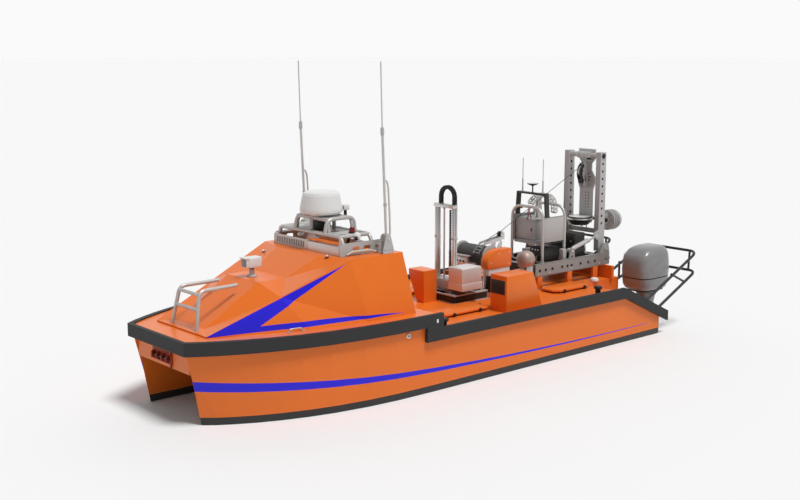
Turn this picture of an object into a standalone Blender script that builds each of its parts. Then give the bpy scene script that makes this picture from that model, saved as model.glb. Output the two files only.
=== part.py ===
"""Uncrewed surface vessel: a 7 m catamaran workboat with a launch frame at the stern.

Metres, +X to the bow, +Y to port, +Z up. The heights below count from the top of
the bottom paint. Once built, the boat is lifted so that its origin is at the waterline,
on the centreline, near the middle of the hulls.
"""
from math import cos, hypot, pi, radians, sin

import bmesh
import bpy
from mathutils import Matrix, Vector

# Driving dimensions
GAP = 0.0003                 # between pieces that rest on each other
WATERLINE_Z = -0.08          # waterline of the empty boat, below the top of the bottom paint

# hulls
TRANSOM_X = -3.34
STEP_X = 0.70                # where the high foredeck drops to the working deck
KNEE_X = -2.555              # the hull tops slope down aft of here
BOW_START_X = 0.75           # the plan narrows forward of here
STEM_LOW_X = 3.314           # stem at the waterline
STEM_TOP_X = 3.485           # stem at the fender
INNER_Y = 0.521              # flat inner wall of each hull
SIDE_LOW_Y = 1.220
SIDE_TOP_Y = 1.222
STEM_WIDTH = 0.012
BOW_STEPS = (0.0, 0.2, 0.35, 0.5, 0.62, 0.73, 0.82, 0.9, 0.96, 1.0)   # stations to the stem
KEEL_Z = -0.33
DECK_FWD_Z = 0.80
DECK_AFT_Z = 0.59
TRANSOM_TOP_Z = 0.20
WET_DECK_Z = 0.464

# fenders
FENDER_T = 0.045
FWD_FENDER = (0.677, 0.816)  # bottom and top
AFT_FENDER = (0.512, 0.654)
AFT_FENDER_END = (-3.48, 0.085, 0.22)

# forward casing
ROOF_Z = 1.46
ROOF_Y = 0.80
SHELF_Z = 1.25
TIER_Z = 1.832               # plate under the radome
CASING_AFT_X = 0.845
ANTENNA_X = 1.06
ANTENNA_Y = 0.748
ANTENNA_PIVOT_Z = 1.62

# moon pool and hoist
HOIST_X = -0.555
HOIST_Y = 0.15
POOL_HALF = 0.13
HOIST_BASE_Z = 0.70
HOIST_TOP_Z = 1.79
POLE_X = HOIST_X - 0.03      # the sonar pole, beside the lead screw
SCREW_X = HOIST_X + 0.03

# launch frame
BASE_Z = 0.765
BASE_TOP_Z = 0.93
BASE_Y = 0.41
HOOP_Y = 0.275
HOOP_TOP_Z = 1.63
HOOP_X = (-2.04, -2.47)
HOOP_R = 0.018
A_X = -3.19
A_PIVOT_Z = 1.00
A_TOP_Z = 2.25
A_LEG_Y = 0.28
RAM_BASE = (-2.50, 1.03)     # X and Z of the barrel's pin
RAM_LUG = (-3.06, 1.17)      # X and Z of the rod's pin
SHEAVE = (-3.115, 2.03)      # X and Z of its pin

# outboards
MOTOR_Y = 0.74
STEER_X = -3.47
COWL_X = -3.64
COWL_Z = (0.40, 1.03)
PROP_Z = -0.43
GUARD_R = 0.20

COLOURS = {
    "orange_paint": ((0.80, 0.16, 0.025), 0.0, 0.35),
    "black_rubber": ((0.035, 0.035, 0.035), 0.0, 0.70),
    "galvanised_steel": ((0.48, 0.46, 0.43), 0.7, 0.45),
    "grey_paint": ((0.42, 0.42, 0.40), 0.1, 0.45),
    "dark_paint": ((0.045, 0.045, 0.042), 0.0, 0.50),
    "white_plastic": ((0.75, 0.75, 0.74), 0.0, 0.40),
    "cowl_grey": ((0.25, 0.25, 0.26), 0.1, 0.40),
    "bright_steel": ((0.70, 0.70, 0.70), 1.0, 0.20),
}


def clear_scene():
    for obj in list(bpy.data.objects):
        bpy.data.objects.remove(obj, do_unlink=True)


def make_material(name):
    colour, metallic, roughness = COLOURS[name]
    material = bpy.data.materials.new(name)
    material.use_nodes = True
    shader = material.node_tree.nodes["Principled BSDF"]
    shader.inputs["Base Color"].default_value = (*colour, 1.0)
    shader.inputs["Metallic"].default_value = metallic
    shader.inputs["Roughness"].default_value = roughness
    return material


def set_on_waterline():
    """Lift the whole boat so that z = 0 is the waterline."""
    for obj in VESSEL.objects:
        obj.data.transform(Matrix.Translation((0, 0, -WATERLINE_Z)))


clear_scene()
MATERIALS = {name: make_material(name) for name in COLOURS}
VESSEL = bpy.data.collections.new("uncrewed_surface_vessel")
bpy.context.scene.collection.children.link(VESSEL)


# Modelling helpers
def add_mesh(name, mesh):
    obj = bpy.data.objects.new(name, mesh)
    VESSEL.objects.link(obj)
    return obj


def finish(obj, material):
    """Give a piece its material and shade its round faces smooth."""
    obj.data.materials.clear()
    obj.data.materials.append(MATERIALS[material])
    obj.data.shade_smooth()
    obj.data.set_sharp_from_angle(angle=radians(35))
    return obj


def to_mesh(obj, name):
    """Replace an object by the mesh that its curve or modifiers make, with welded caps."""
    graph = bpy.context.evaluated_depsgraph_get()
    mesh = bpy.data.meshes.new_from_object(obj.evaluated_get(graph))
    mesh.transform(obj.matrix_world)
    work = bmesh.new()
    work.from_mesh(mesh)
    bmesh.ops.remove_doubles(work, verts=work.verts, dist=0.00001)
    bmesh.ops.recalc_face_normals(work, faces=work.faces)
    work.to_mesh(mesh)
    work.free()
    bpy.data.objects.remove(obj, do_unlink=True)
    return add_mesh(name, mesh)


def box(name, low, high, bevel=0.0):
    """A box between two corners, its edges rounded by a Bevel modifier."""
    work = bmesh.new()
    bmesh.ops.create_cube(work, size=1.0)
    size = [b - a for a, b in zip(low, high)]
    centre = [(a + b) / 2 for a, b in zip(low, high)]
    bmesh.ops.scale(work, vec=size, verts=work.verts)
    bmesh.ops.translate(work, vec=centre, verts=work.verts)
    mesh = bpy.data.meshes.new(name)
    work.to_mesh(mesh)
    work.free()
    obj = add_mesh(name, mesh)
    if bevel:
        modifier = obj.modifiers.new("Bevel", "BEVEL")
        modifier.width = bevel
        modifier.segments = 2
        obj = to_mesh(obj, name)
    return obj


def rod(name, start, end, radius, sides=16, end_radius=None):
    """A cylinder, or a cone frustum, from one point to another."""
    start, end = Vector(start), Vector(end)
    work = bmesh.new()
    bmesh.ops.create_cone(work, cap_ends=True, segments=sides, radius1=radius,
                          radius2=radius if end_radius is None else end_radius,
                          depth=(end - start).length)
    turn = (end - start).to_track_quat("Z", "Y").to_matrix().to_4x4()
    bmesh.ops.transform(work, matrix=Matrix.Translation((start + end) / 2) @ turn,
                        verts=work.verts)
    mesh = bpy.data.meshes.new(name)
    work.to_mesh(mesh)
    work.free()
    return add_mesh(name, mesh)


def rounded(points, radius, steps=4):
    """A polyline whose inner corners are replaced by short arcs."""
    points = [Vector(p) for p in points]
    path = [points[0]]
    for before, corner, after in zip(points, points[1:], points[2:]):
        into, out = (before - corner), (after - corner)
        reach = min(radius, into.length * 0.45, out.length * 0.45)
        a, b = corner + into.normalized() * reach, corner + out.normalized() * reach
        for i in range(steps + 1):
            t = i / steps
            path.append(a * (1 - t) ** 2 + corner * 2 * t * (1 - t) + b * t ** 2)
    path.append(points[-1])
    return path


def tube(name, points, radius, bend=0.0, resolution=2):
    """A bent tube: a curve with a round bevel and filled caps."""
    path = rounded(points, bend) if bend else [Vector(p) for p in points]
    curve = bpy.data.curves.new(name, "CURVE")
    curve.dimensions = "3D"
    curve.bevel_depth = radius
    curve.bevel_resolution = resolution
    curve.use_fill_caps = True
    spline = curve.splines.new("POLY")
    spline.points.add(len(path) - 1)
    for point, place in zip(spline.points, path):
        point.co = (*place, 1.0)
    obj = bpy.data.objects.new(name, curve)
    VESSEL.objects.link(obj)
    return to_mesh(obj, name)


def plate(name, outline, low, high, normal="Z"):
    """A flat outline given thickness between two levels along one axis.

    The outline is (x, y) for normal Z, (x, z) for normal Y and (y, z) for normal X.
    """
    curve = bpy.data.curves.new(name, "CURVE")
    curve.dimensions = "2D"
    curve.fill_mode = "BOTH"
    curve.extrude = (high - low) / 2
    spline = curve.splines.new("POLY")
    spline.points.add(len(outline) - 1)
    for point, (u, v) in zip(spline.points, outline):
        point.co = (u, v, 0.0, 1.0)
    spline.use_cyclic_u = True
    obj = bpy.data.objects.new(name, curve)
    VESSEL.objects.link(obj)
    middle = (low + high) / 2
    obj.matrix_world = {
        "Z": Matrix.Translation((0, 0, middle)),
        "Y": Matrix.Translation((0, middle, 0)) @ Matrix.Rotation(pi / 2, 4, "X"),
        "X": Matrix.Translation((middle, 0, 0)) @ Matrix(((0, 0, 1, 0), (1, 0, 0, 0),
                                                          (0, 1, 0, 0), (0, 0, 0, 1))),
    }[normal]
    bpy.context.view_layer.update()
    return to_mesh(obj, name)


def turned(name, profile, place, axis="Z", steps=32):
    """A turned solid from (radius, height) points that run from the top to the bottom."""
    mesh = bpy.data.meshes.new(name)
    mesh.from_pydata([(r, 0, h) for r, h in profile],
                     [(i, i + 1) for i in range(len(profile) - 1)], [])
    obj = add_mesh(name, mesh)
    screw = obj.modifiers.new("Screw", "SCREW")
    screw.steps = screw.render_steps = steps
    screw.use_merge_vertices = True
    screw.merge_threshold = 0.0001
    turn = {"Z": Matrix.Identity(4), "X": Matrix.Rotation(pi / 2, 4, "Y"),
            "Y": Matrix.Rotation(-pi / 2, 4, "X")}[axis]
    obj.matrix_world = Matrix.Translation(place) @ turn
    bpy.context.view_layer.update()
    return to_mesh(obj, name)


def boolean(obj, others, operation, name):
    for other in others:
        modifier = obj.modifiers.new("Boolean", "BOOLEAN")
        modifier.operation = operation
        modifier.object = other
    bpy.context.view_layer.update()
    result = to_mesh(obj, name)
    for other in others:
        bpy.data.objects.remove(other, do_unlink=True)
    return result


def union(name, pieces, material):
    """Join overlapping pieces into one closed body."""
    first, *rest = pieces
    return finish(boolean(first, rest, "UNION", name), material)


def cut(obj, cutters):
    return boolean(obj, cutters, "DIFFERENCE", obj.name)


def trimmed(obj, name):
    """Cut away what would reach into the piece below, leaving the usual gap over it."""
    mesh = bpy.data.objects[name].data.copy()
    mesh.transform(Matrix.Translation((GAP, 0, GAP)))
    return cut(obj, [add_mesh("below", mesh)])


def mirrored(obj, name, material):
    """The same piece on the other side of the centreline."""
    mesh = obj.data.copy()
    mesh.transform(Matrix.Scale(-1, 4, (0, 1, 0)))
    mesh.flip_normals()
    return finish(add_mesh(name, mesh), material)


def loft(name, rings):
    """A closed solid through rings that all have the same number of points."""
    work = bmesh.new()
    rows = [[work.verts.new(p) for p in ring] for ring in rings]
    count = len(rows[0])
    for a, b in zip(rows, rows[1:]):
        for i in range(count):
            j = (i + 1) % count
            work.faces.new((a[i], a[j], b[j], b[i]))
    work.faces.new(rows[0])
    work.faces.new(list(reversed(rows[-1])))
    bmesh.ops.recalc_face_normals(work, faces=work.faces)
    mesh = bpy.data.meshes.new(name)
    work.to_mesh(mesh)
    work.free()
    return add_mesh(name, mesh)


# Hulls, deck and fenders
def bow_width(t, stem_y, side_y, power):
    """Half-beam at a fraction t of the way to the stem."""
    return stem_y + (side_y - stem_y) * max(0.0, 1 - t ** 2.5) ** power


def sheer_point(t, offset=0.0):
    """Plan of the hull's upper edge, or of a line that lies offset outside it."""
    x = BOW_START_X + t * (STEM_TOP_X + offset - BOW_START_X)
    return x, bow_width(t, INNER_Y + STEM_WIDTH, SIDE_TOP_Y, 0.93) + offset


def keel_height(x):
    """The keel line rises to the forefoot."""
    start, end = 2.3, STEM_LOW_X
    rise = max(0.0, (x - start) / (end - start))
    return KEEL_Z + 0.215 * rise ** 2.6


def hull_section(x_low, x_top, y_low, y_top, chine_z, knuckle_z, top_z):
    keel = keel_height(x_low)
    chine_y = INNER_Y + (y_low - INNER_Y) * 0.97
    return [(x_low, INNER_Y, keel), (x_low, chine_y, max(chine_z, keel + 0.012)),
            (x_low, y_low, 0.0), (x_top, y_top, knuckle_z), (x_top, y_top, top_z),
            (x_top, INNER_Y, top_z)]


def make_hulls():
    slope = (DECK_AFT_Z - TRANSOM_TOP_Z) / (KNEE_X - TRANSOM_X)
    rings = [hull_section(TRANSOM_X, TRANSOM_X, SIDE_LOW_Y, SIDE_TOP_Y, -0.253,
                          AFT_FENDER[0] - slope * (KNEE_X - TRANSOM_X), TRANSOM_TOP_Z),
             hull_section(KNEE_X, KNEE_X, SIDE_LOW_Y, SIDE_TOP_Y, -0.240,
                          AFT_FENDER[0], DECK_AFT_Z),
             hull_section(-0.9, -0.9, SIDE_LOW_Y, SIDE_TOP_Y, -0.212,
                          AFT_FENDER[0], DECK_AFT_Z),
             hull_section(STEP_X, STEP_X, SIDE_LOW_Y, SIDE_TOP_Y, -0.180,
                          AFT_FENDER[0], DECK_AFT_Z),
             hull_section(STEP_X + 0.002, STEP_X + 0.002, SIDE_LOW_Y, SIDE_TOP_Y, -0.180,
                          FWD_FENDER[0], DECK_FWD_Z)]
    for t in BOW_STEPS:
        x_low = BOW_START_X + t * (STEM_LOW_X - BOW_START_X)
        y_low = bow_width(t, INNER_Y + STEM_WIDTH, SIDE_LOW_Y, 0.88)
        x_top, y_top = sheer_point(t)
        rings.append(hull_section(x_low, x_top, y_low, y_top,
                                  -0.180 + 0.080 * t, FWD_FENDER[0], DECK_FWD_Z))
    port = finish(loft("hull_port", rings), "orange_paint")
    mirrored(port, "hull_starboard", "orange_paint")


def make_bridge_deck():
    lip = STEM_TOP_X + GAP
    outline = [(TRANSOM_X, 0.35), (-2.6, WET_DECK_Z), (3.44, WET_DECK_Z), (3.44, 0.66),
               (lip, 0.66), (lip, DECK_FWD_Z), (STEP_X, DECK_FWD_Z),
               (STEP_X, DECK_AFT_Z), (TRANSOM_X, DECK_AFT_Z)]
    deck = plate("bridge_deck", outline, -INNER_Y + GAP, INNER_Y - GAP, "Y")
    pool = box("pool", (HOIST_X - POOL_HALF, -POOL_HALF, 0.3),
               (HOIST_X + POOL_HALF, POOL_HALF, 0.7))
    finish(cut(deck, [pool]), "orange_paint")
    bulkhead = box("stern_bulkhead", (-3.20, -0.55, DECK_AFT_Z + GAP),
                   (-3.15, 0.55, BASE_Z - GAP))
    finish(bulkhead, "orange_paint")


def make_fenders():
    outer = [sheer_point(t, FENDER_T) for t in BOW_STEPS]
    inner = [sheer_point(t, GAP) for t in BOW_STEPS]
    outer.insert(0, (STEP_X - 0.04, outer[0][1]))
    inner.insert(0, (STEP_X - 0.04, inner[0][1]))
    inner[-1] = (STEM_TOP_X + 2 * GAP, inner[-1][1])
    starboard = [(x, -y) for x, y in reversed(outer)]
    outline = outer + starboard + [(x, -y) for x, y in inner] + list(reversed(inner))
    rail = plate("bow_fender", outline, *FWD_FENDER)
    ends = [box("end", (STEP_X - 0.04, min(s * (SIDE_TOP_Y + GAP), s * (SIDE_TOP_Y + FENDER_T)),
                        AFT_FENDER[0]),
                (STEP_X + 0.20, max(s * (SIDE_TOP_Y + GAP), s * (SIDE_TOP_Y + FENDER_T)),
                 FWD_FENDER[0] + 0.02))
            for s in (-1, 1)]
    union("bow_fender", [rail] + ends, "black_rubber")
    end_x, end_low, end_high = AFT_FENDER_END
    start = STEP_X - 0.04 - GAP
    outline = [(start, AFT_FENDER[0]), (start, AFT_FENDER[1]), (KNEE_X, AFT_FENDER[1]),
               (end_x, end_high), (end_x, end_low), (KNEE_X - 0.02, AFT_FENDER[0])]
    port = finish(plate("aft_fender_port", outline, SIDE_TOP_Y + GAP, SIDE_TOP_Y + FENDER_T, "Y"),
                  "black_rubber")
    mirrored(port, "aft_fender_starboard", "black_rubber")


# Forward casing and what stands on it
def make_casing():
    floor = DECK_FWD_Z + GAP
    base = [(CASING_AFT_X, 1.010), (1.50, 1.004), (2.21, 0.883), (2.80, 0.66), (3.22, 0.50)]
    ridge = [(CASING_AFT_X + 0.025, ROOF_Y + 0.01, ROOF_Z), (1.605, ROOF_Y, ROOF_Z),
             (2.41, 0.65, 1.138), (3.22, 0.50, 0.816)]
    spine = [(1.72, 0.40, ROOF_Z), (2.10, 0.30, SHELF_Z), (2.45, 0.30, SHELF_Z),
             (3.10, 0.26, 0.835)]
    work = bmesh.new()

    def pair(x, y, z):
        return work.verts.new((x, y, z)), work.verts.new((x, -y, z))

    feet = [pair(x, y, floor) for x, y in base]
    edge = [pair(*p) for p in ridge]
    top = [pair(*p) for p in spine]
    for side in (0, 1):
        foot, rim, crest = ([p[side] for p in row] for row in (feet, edge, top))
        faces = [(foot[0], foot[1], rim[1], rim[0]), (foot[1], foot[2], rim[2], rim[1]),
                 (foot[2], foot[3], rim[2]), (foot[3], foot[4], rim[3], rim[2]),
                 (rim[1], rim[2], crest[1], crest[0]), (rim[2], crest[2], crest[1]),
                 (rim[2], rim[3], crest[3], crest[2])]
        for face in faces:
            work.faces.new(face)
    for a, b in zip(top, top[1:]):
        work.faces.new((a[0], b[0], b[1], a[1]))
    work.faces.new((edge[0][0], edge[1][0], top[0][0], top[0][1], edge[1][1], edge[0][1]))
    work.faces.new((top[3][0], edge[3][0], edge[3][1], top[3][1]))
    work.faces.new((edge[3][0], feet[4][0], feet[4][1], edge[3][1]))
    work.faces.new((feet[0][0], edge[0][0], edge[0][1], feet[0][1]))
    work.faces.new([f[0] for f in feet] + [f[1] for f in reversed(feet)])
    bmesh.ops.recalc_face_normals(work, faces=work.faces)
    mesh = bpy.data.meshes.new("forward_casing")
    work.to_mesh(mesh)
    work.free()
    finish(add_mesh("forward_casing", mesh), "orange_paint")


def make_bow_rail():
    """A roll bar on the casing's nose, with two arms that run aft."""
    pieces = []
    for s in (-1, 1):
        pieces.append(tube("post", [(3.182, s * 0.25, 0.808), (3.105, s * 0.195, 1.22),
                                    (2.64, s * 0.18, 1.225)], 0.021, 0.07))
    pieces.append(rod("cross", (3.112, -0.20, 1.185), (3.112, 0.20, 1.185), 0.019))
    pieces.append(rod("middle", (3.140, -0.222, 1.03), (3.140, 0.222, 1.03), 0.019))
    joined = boolean(pieces[0], pieces[1:], "UNION", "bow_rail")
    finish(trimmed(joined, "forward_casing"), "galvanised_steel")


def make_camera():
    pedestal = turned("pedestal", [(0, 1.333), (0.030, 1.333), (0.030, 1.275), (0.055, 1.262),
                                   (0.055, SHELF_Z + GAP), (0, SHELF_Z + GAP)],
                      (2.33, 0, 0), steps=24)
    finish(pedestal, "white_plastic")
    pedestal.name = "camera_pedestal"
    body = box("camera_head", (2.23, -0.065, 1.35), (2.45, 0.065, 1.47), 0.015)
    neck = rod("neck", (2.33, 0, 1.333 + GAP), (2.33, 0, 1.37), 0.028)
    union("camera_head", [body, neck], "white_plastic")


def make_platform():
    """Coamings on the roof, and two tiers of bent tube and plate that carry the radar."""
    roof = ROOF_Z + GAP
    pieces = [box("coaming", (0.95, s * 0.60 - 0.02, roof), (1.60, s * 0.60 + 0.02, 1.60))
              for s in (-1, 1)]
    pieces.append(box("front", (1.56, -0.61, roof), (1.60, 0.61, 1.585)))
    pieces.append(box("bar", (0.97, -0.60, roof), (1.02, 0.60, 1.53)))
    pieces.append(box("tier", (1.13, -0.545, 1.65), (1.55, 0.545, 1.67)))
    for x in (1.14, 1.54):
        pieces.append(tube("leg", [(x, -0.60, 1.55), (x, -0.555, 1.66), (x, 0.555, 1.66),
                                   (x, 0.60, 1.55)], 0.019, 0.06, 1))
    for y in (-0.28, 0.28):
        pieces.append(tube("hoop", [(1.545, y, 1.66), (1.51, y, 1.825), (1.14, y, 1.825),
                                    (1.12, y, 1.66)], 0.018, 0.07, 1))
    pieces.append(box("top_tier", (1.20, -0.28, 1.808), (1.52, 0.28, TIER_Z)))
    for s in (-1, 1):
        pieces += antenna_bracket(s)
    union("sensor_platform", pieces, "galvanised_steel")
    foot = TIER_Z + GAP
    finish(turned("radome", [(0, 2.112), (0.165, 2.108), (0.198, 2.095), (0.212, 2.065),
                             (0.243, 1.915), (0.243, 1.885), (0.225, 1.862), (0.13, 1.855),
                             (0.13, foot), (0, foot)],
                  (1.38, 0, 0), steps=40), "white_plastic")


def antenna_bracket(s):
    """Two cheeks and a sole at the roof's edge, tied to the coaming beside them."""
    x, low, pivot_z = ANTENNA_X, ROOF_Z + GAP, ANTENNA_PIVOT_Z
    outline = [(x - 0.075, low), (x + 0.075, low), (x + 0.075, low + 0.05),
               (x + 0.03, pivot_z + 0.04), (x - 0.03, pivot_z + 0.04), (x - 0.075, low + 0.05)]
    cheeks = [plate("cheek", outline, s * ANTENNA_Y + d - 0.006, s * ANTENNA_Y + d + 0.006, "Y")
              for d in (-0.042, 0.042)]
    inner, outer = sorted((s * 0.61, s * (ANTENNA_Y + 0.04)))
    sole = box("sole", (x - 0.06, inner, low), (x + 0.06, outer, low + 0.018))
    return cheeks + [sole]


def make_antennas():
    """Whip antennas that fold aft on their brackets."""
    x, y, pivot_z = ANTENNA_X, ANTENNA_Y, ANTENNA_PIVOT_Z
    for name, s in (("port", 1), ("starboard", -1)):
        block = box("block", (x - 0.03, s * y - 0.0355, pivot_z - 0.03),
                    (x + 0.03, s * y + 0.0355, pivot_z + 0.06))
        whip = rod("whip", (x - 0.005, s * y, pivot_z), (x + 0.046, s * y, 2.80), 0.015, 10)
        tip = rod("tip", (x + 0.046, s * y, 2.79), (x + 0.066, s * y, 3.55), 0.008, 8)
        collar = rod("collar", (x + 0.045, s * y, 2.76), (x + 0.048, s * y, 2.84), 0.022, 10)
        brace = tube("brace", [(x - 0.02, s * (y - 0.022), pivot_z + 0.03),
                               (x + 0.005, s * (y - 0.030), 2.20),
                               (x + 0.022, s * y, 2.26)], 0.008)
        union("antenna_" + name, [block, whip, tip, collar, brace], "white_plastic")


# Moon pool hoist and working deck
def make_hoist():
    """Two posts over the moon pool, with a lead screw that lifts the sonar pole's carriage."""
    z0, z1 = DECK_AFT_Z + GAP, HOIST_BASE_Z
    front = HOIST_X + 0.16
    base = box("base", (HOIST_X - 0.42, -0.33, z0), (front, 0.33, z1))
    hole = box("hole", (HOIST_X - POOL_HALF, -POOL_HALF, 0.3),
               (HOIST_X + POOL_HALF, POOL_HALF, 1.0))
    pieces = [cut(base, [hole])]
    for s in (-1, 1):
        y = s * HOIST_Y
        pieces.append(box("post", (HOIST_X - 0.03, y - 0.022, z1 - 0.01),
                          (HOIST_X + 0.03, y + 0.022, HOIST_TOP_Z)))
    pieces.append(box("head", (HOIST_X - 0.025, -HOIST_Y - 0.025, HOIST_TOP_Z - 0.04),
                      (SCREW_X + 0.02, HOIST_Y + 0.025, HOIST_TOP_Z + 0.005)))
    pieces.append(box("sill", (SCREW_X - 0.018, -0.135, z1 - 0.012),
                      (SCREW_X + 0.018, 0.135, z1 + 0.015)))
    pieces.append(rod("screw", (SCREW_X, 0, z1), (SCREW_X, 0, HOIST_TOP_Z - 0.03), 0.012, 12))
    union("hoist_frame", pieces, "galvanised_steel")
    carriage = box("carriage", (POLE_X - 0.05, -0.1277, 0.73), (SCREW_X + 0.03, 0.1277, 0.85))
    pole = rod("pole", (POLE_X, 0, -0.42), (POLE_X, 0, 0.84), 0.020, 16)
    head = rod("transducer", (POLE_X, 0, -0.43), (POLE_X, 0, -0.29), 0.09, 24)
    nut = rod("nut", (SCREW_X, 0, 0.5), (SCREW_X, 0, 1.0), 0.012 + 2 * GAP, 12)
    body = boolean(carriage, [pole, head], "UNION", "sonar_pole")
    finish(cut(body, [nut]), "grey_paint")
    top = HOIST_TOP_Z + 0.005 + GAP
    mid_y, turn_z, outer, inner = 0.03, top + 0.09, 0.145, 0.095
    arcs = [[(mid_y + radius * cos(i * pi / 8), turn_z + radius * sin(i * pi / 8)) for i in range(9)]
            for radius in (outer, inner)]
    outline = ([(mid_y + outer, top)] + arcs[0] + [(mid_y - outer, top), (mid_y - inner, top)]
               + list(reversed(arcs[1])) + [(mid_y + inner, top)])
    finish(plate("drag_chain", outline, HOIST_X - 0.022, HOIST_X + 0.022, "X"), "black_rubber")
    cabinet = box("hoist_cabinet", (-0.767, HOIST_Y + 0.022 + GAP, 0.76), (-0.434, 0.424, 1.045), 0.012)
    finish(cabinet, "grey_paint")
    outline = [(-0.12, z0), (0.012, z0), (0.012, 0.99), (-0.273, 0.99), (-0.273, 0.93)]
    finish(plate("deck_locker", outline, front + GAP, -0.173, "X"), "orange_paint")


def make_winch():
    z0 = DECK_AFT_Z + GAP
    x, mid_y, axis_z = -1.14, -0.05, 1.09
    frame = [box("sole", (x - 0.30, mid_y - 0.34, z0), (-0.985, mid_y + 0.34, 0.66))]
    for s in (-1, 1):
        y = mid_y + s * 0.29
        outline = [(x - 0.28, 0.65), (-1.00, 0.65), (x + 0.10, 1.19), (x - 0.10, 1.19)]
        frame.append(plate("cheek", outline, y - 0.015, y + 0.015, "Y"))
    frame.append(rod("guide", (x - 0.16, mid_y - 0.30, 0.95), (x - 0.16, mid_y + 0.30, 0.95), 0.02))
    bores = rod("bore", (x, -0.5, axis_z), (x, 0.5, axis_z), 0.030 + GAP * 2, 24)
    joined = boolean(frame[0], frame[1:], "UNION", "winch_frame")
    finish(cut(joined, [bores]), "grey_paint")
    drum = turned("winch_drum", [(0, 0.302), (0.030, 0.302), (0.030, 0.265), (0.145, 0.265),
                                 (0.145, 0.245), (0.105, 0.245), (0.105, -0.245),
                                 (0.145, -0.245), (0.145, -0.265), (0.030, -0.265),
                                 (0.030, -0.302), (0, -0.302)],
                  (x, mid_y, axis_z), "Y", 32)
    finish(drum, "dark_paint")
    cover = [(-0.93, 0.965), (-0.91, 1.08), (-0.99, 1.17), (-1.10, 1.205), (-1.33, 1.205),
             (-1.35, 1.17), (-1.35, 0.965)]
    finish(plate("winch_cover", cover, mid_y + 0.305 + GAP, 0.38, "Y"), "orange_paint")


def make_deck_box():
    z0 = DECK_AFT_Z + GAP
    outline = [(-1.189, z0), (-0.55, z0), (-0.55, 1.028), (-1.016, 1.028)]
    finish(plate("deck_box", outline, 0.786, 1.06, "Y"), "orange_paint")


def make_hatches():
    """Four raised lids with cut corners, each hinged at its forward edge."""
    z0 = DECK_AFT_Z + GAP
    for name, x0, x1, y0, y1, c in (("forward", -0.54, 0.22, 0.44, 0.80, 0.04),
                                    ("aft", -2.50, -1.80, 0.43, 0.75, 0.07)):
        outline = [(x0 + c, y0), (x1 - c, y0), (x1, y0 + c), (x1, y1 - c), (x1 - c, y1),
                   (x0 + c, y1), (x0, y1 - c), (x0, y0 + c)]
        lid = plate("hatch_" + name + "_port", outline, z0, z0 + 0.045)
        lid = finish(lid, "orange_paint")
        mirrored(lid, "hatch_" + name + "_starboard", "orange_paint")


def make_bollards():
    z0 = DECK_AFT_Z + GAP
    for name, x in (("forward", 0.55), ("aft", -2.13)):
        profile = [(0, 0.13), (0.045, 0.13), (0.055, 0.115), (0.055, 0.10), (0.035, 0.09),
                   (0.035, 0.02), (0.06, 0.015), (0.06, 0), (0, 0)]
        for side, s in (("port", 1), ("starboard", -1)):
            finish(turned("bollard_%s_%s" % (name, side), profile, (x, s * 1.15, z0), steps=20),
                   "black_rubber")


# Launch frame
def make_launch_base():
    pieces = []
    for s in (-1, 1):
        y = s * (BASE_Y - 0.025)
        pieces.append(box("beam", (-3.12, y - 0.025, BASE_Z), (-1.76, y + 0.025, BASE_TOP_Z)))
        for x in (-1.86, -2.45, -2.98):
            pieces.append(box("foot", (x - 0.05, y - 0.025, DECK_AFT_Z + GAP),
                              (x + 0.05, y + 0.025, BASE_Z + 0.01)))
    for x in (-1.82, -2.04, -2.47, -3.06):
        pieces.append(box("cross", (x - 0.03, -BASE_Y + 0.03, BASE_Z + 0.02),
                          (x + 0.03, BASE_Y - 0.03, BASE_TOP_Z - 0.02)))
    for s in (-1, 1):
        y = s * (BASE_Y - 0.025)
        pieces.append(plate("post", [(-3.27, BASE_Z), (-3.05, BASE_Z), (-3.05, BASE_TOP_Z),
                                     (-3.14, A_PIVOT_Z + 0.06), (-3.24, A_PIVOT_Z + 0.06),
                                     (-3.27, BASE_TOP_Z)], y - 0.025, y + 0.025, "Y"))
        pieces.append(plate("ram_post", [(RAM_BASE[0] - 0.05, BASE_TOP_Z - 0.02),
                                         (RAM_BASE[0] + 0.07, BASE_TOP_Z - 0.02),
                                         (RAM_BASE[0] + 0.03, RAM_BASE[1] + 0.03),
                                         (RAM_BASE[0] - 0.03, RAM_BASE[1] + 0.03)],
                            s * 0.395 - 0.008, s * 0.395 + 0.008, "Y"))
        pieces.append(rod("ram_pin", (RAM_BASE[0], s * 0.320, RAM_BASE[1]),
                          (RAM_BASE[0], s * 0.395, RAM_BASE[1]), 0.010))
    union("launch_base", pieces, "grey_paint")


def make_hoops():
    for name, x in zip(("forward", "aft"), HOOP_X):
        z0 = BASE_TOP_Z - 0.02 + GAP
        hoop = tube("hoop_" + name, [(x, -HOOP_Y, z0), (x, -HOOP_Y, HOOP_TOP_Z),
                                     (x, HOOP_Y, HOOP_TOP_Z), (x, HOOP_Y, z0)], HOOP_R, 0.13)
        finish(hoop, "galvanised_steel")
    x0, x1 = HOOP_X[1] + HOOP_R + GAP, HOOP_X[0] - HOOP_R - GAP
    cabinet = [box("shelf", (x0, -0.285, 1.15), (x1, 0.285, 1.172)),
               box("block", (x0 + 0.03, -0.26, 1.16), (x1 - 0.02, 0.09, 1.46))]
    cabinet += [box("side", (x0, min(s * 0.285, s * 0.245), 1.15),
                    (x1, max(s * 0.285, s * 0.245), 1.50)) for s in (-1, 1)]
    union("launch_cabinet", cabinet, "grey_paint")
    motor = [rod("motor", (-1.735, 0.33, 1.005), (-1.56, 0.33, 1.005), 0.115, 24),
             box("stand", (-1.72, 0.25, DECK_AFT_Z + GAP), (-1.60, 0.41, 0.93))]
    union("launch_motor", motor, "grey_paint")
    stern = [box("stern_cabinet", (-2.94, -0.25, BASE_TOP_Z - 0.11), (-2.72, 0.25, 1.22))]
    stern.append(box("shelf", (-3.0297, -0.25, BASE_TOP_Z - 0.11), (-2.5003, 0.25, 0.84)))
    union("stern_cabinet", stern, "dark_paint")


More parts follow.
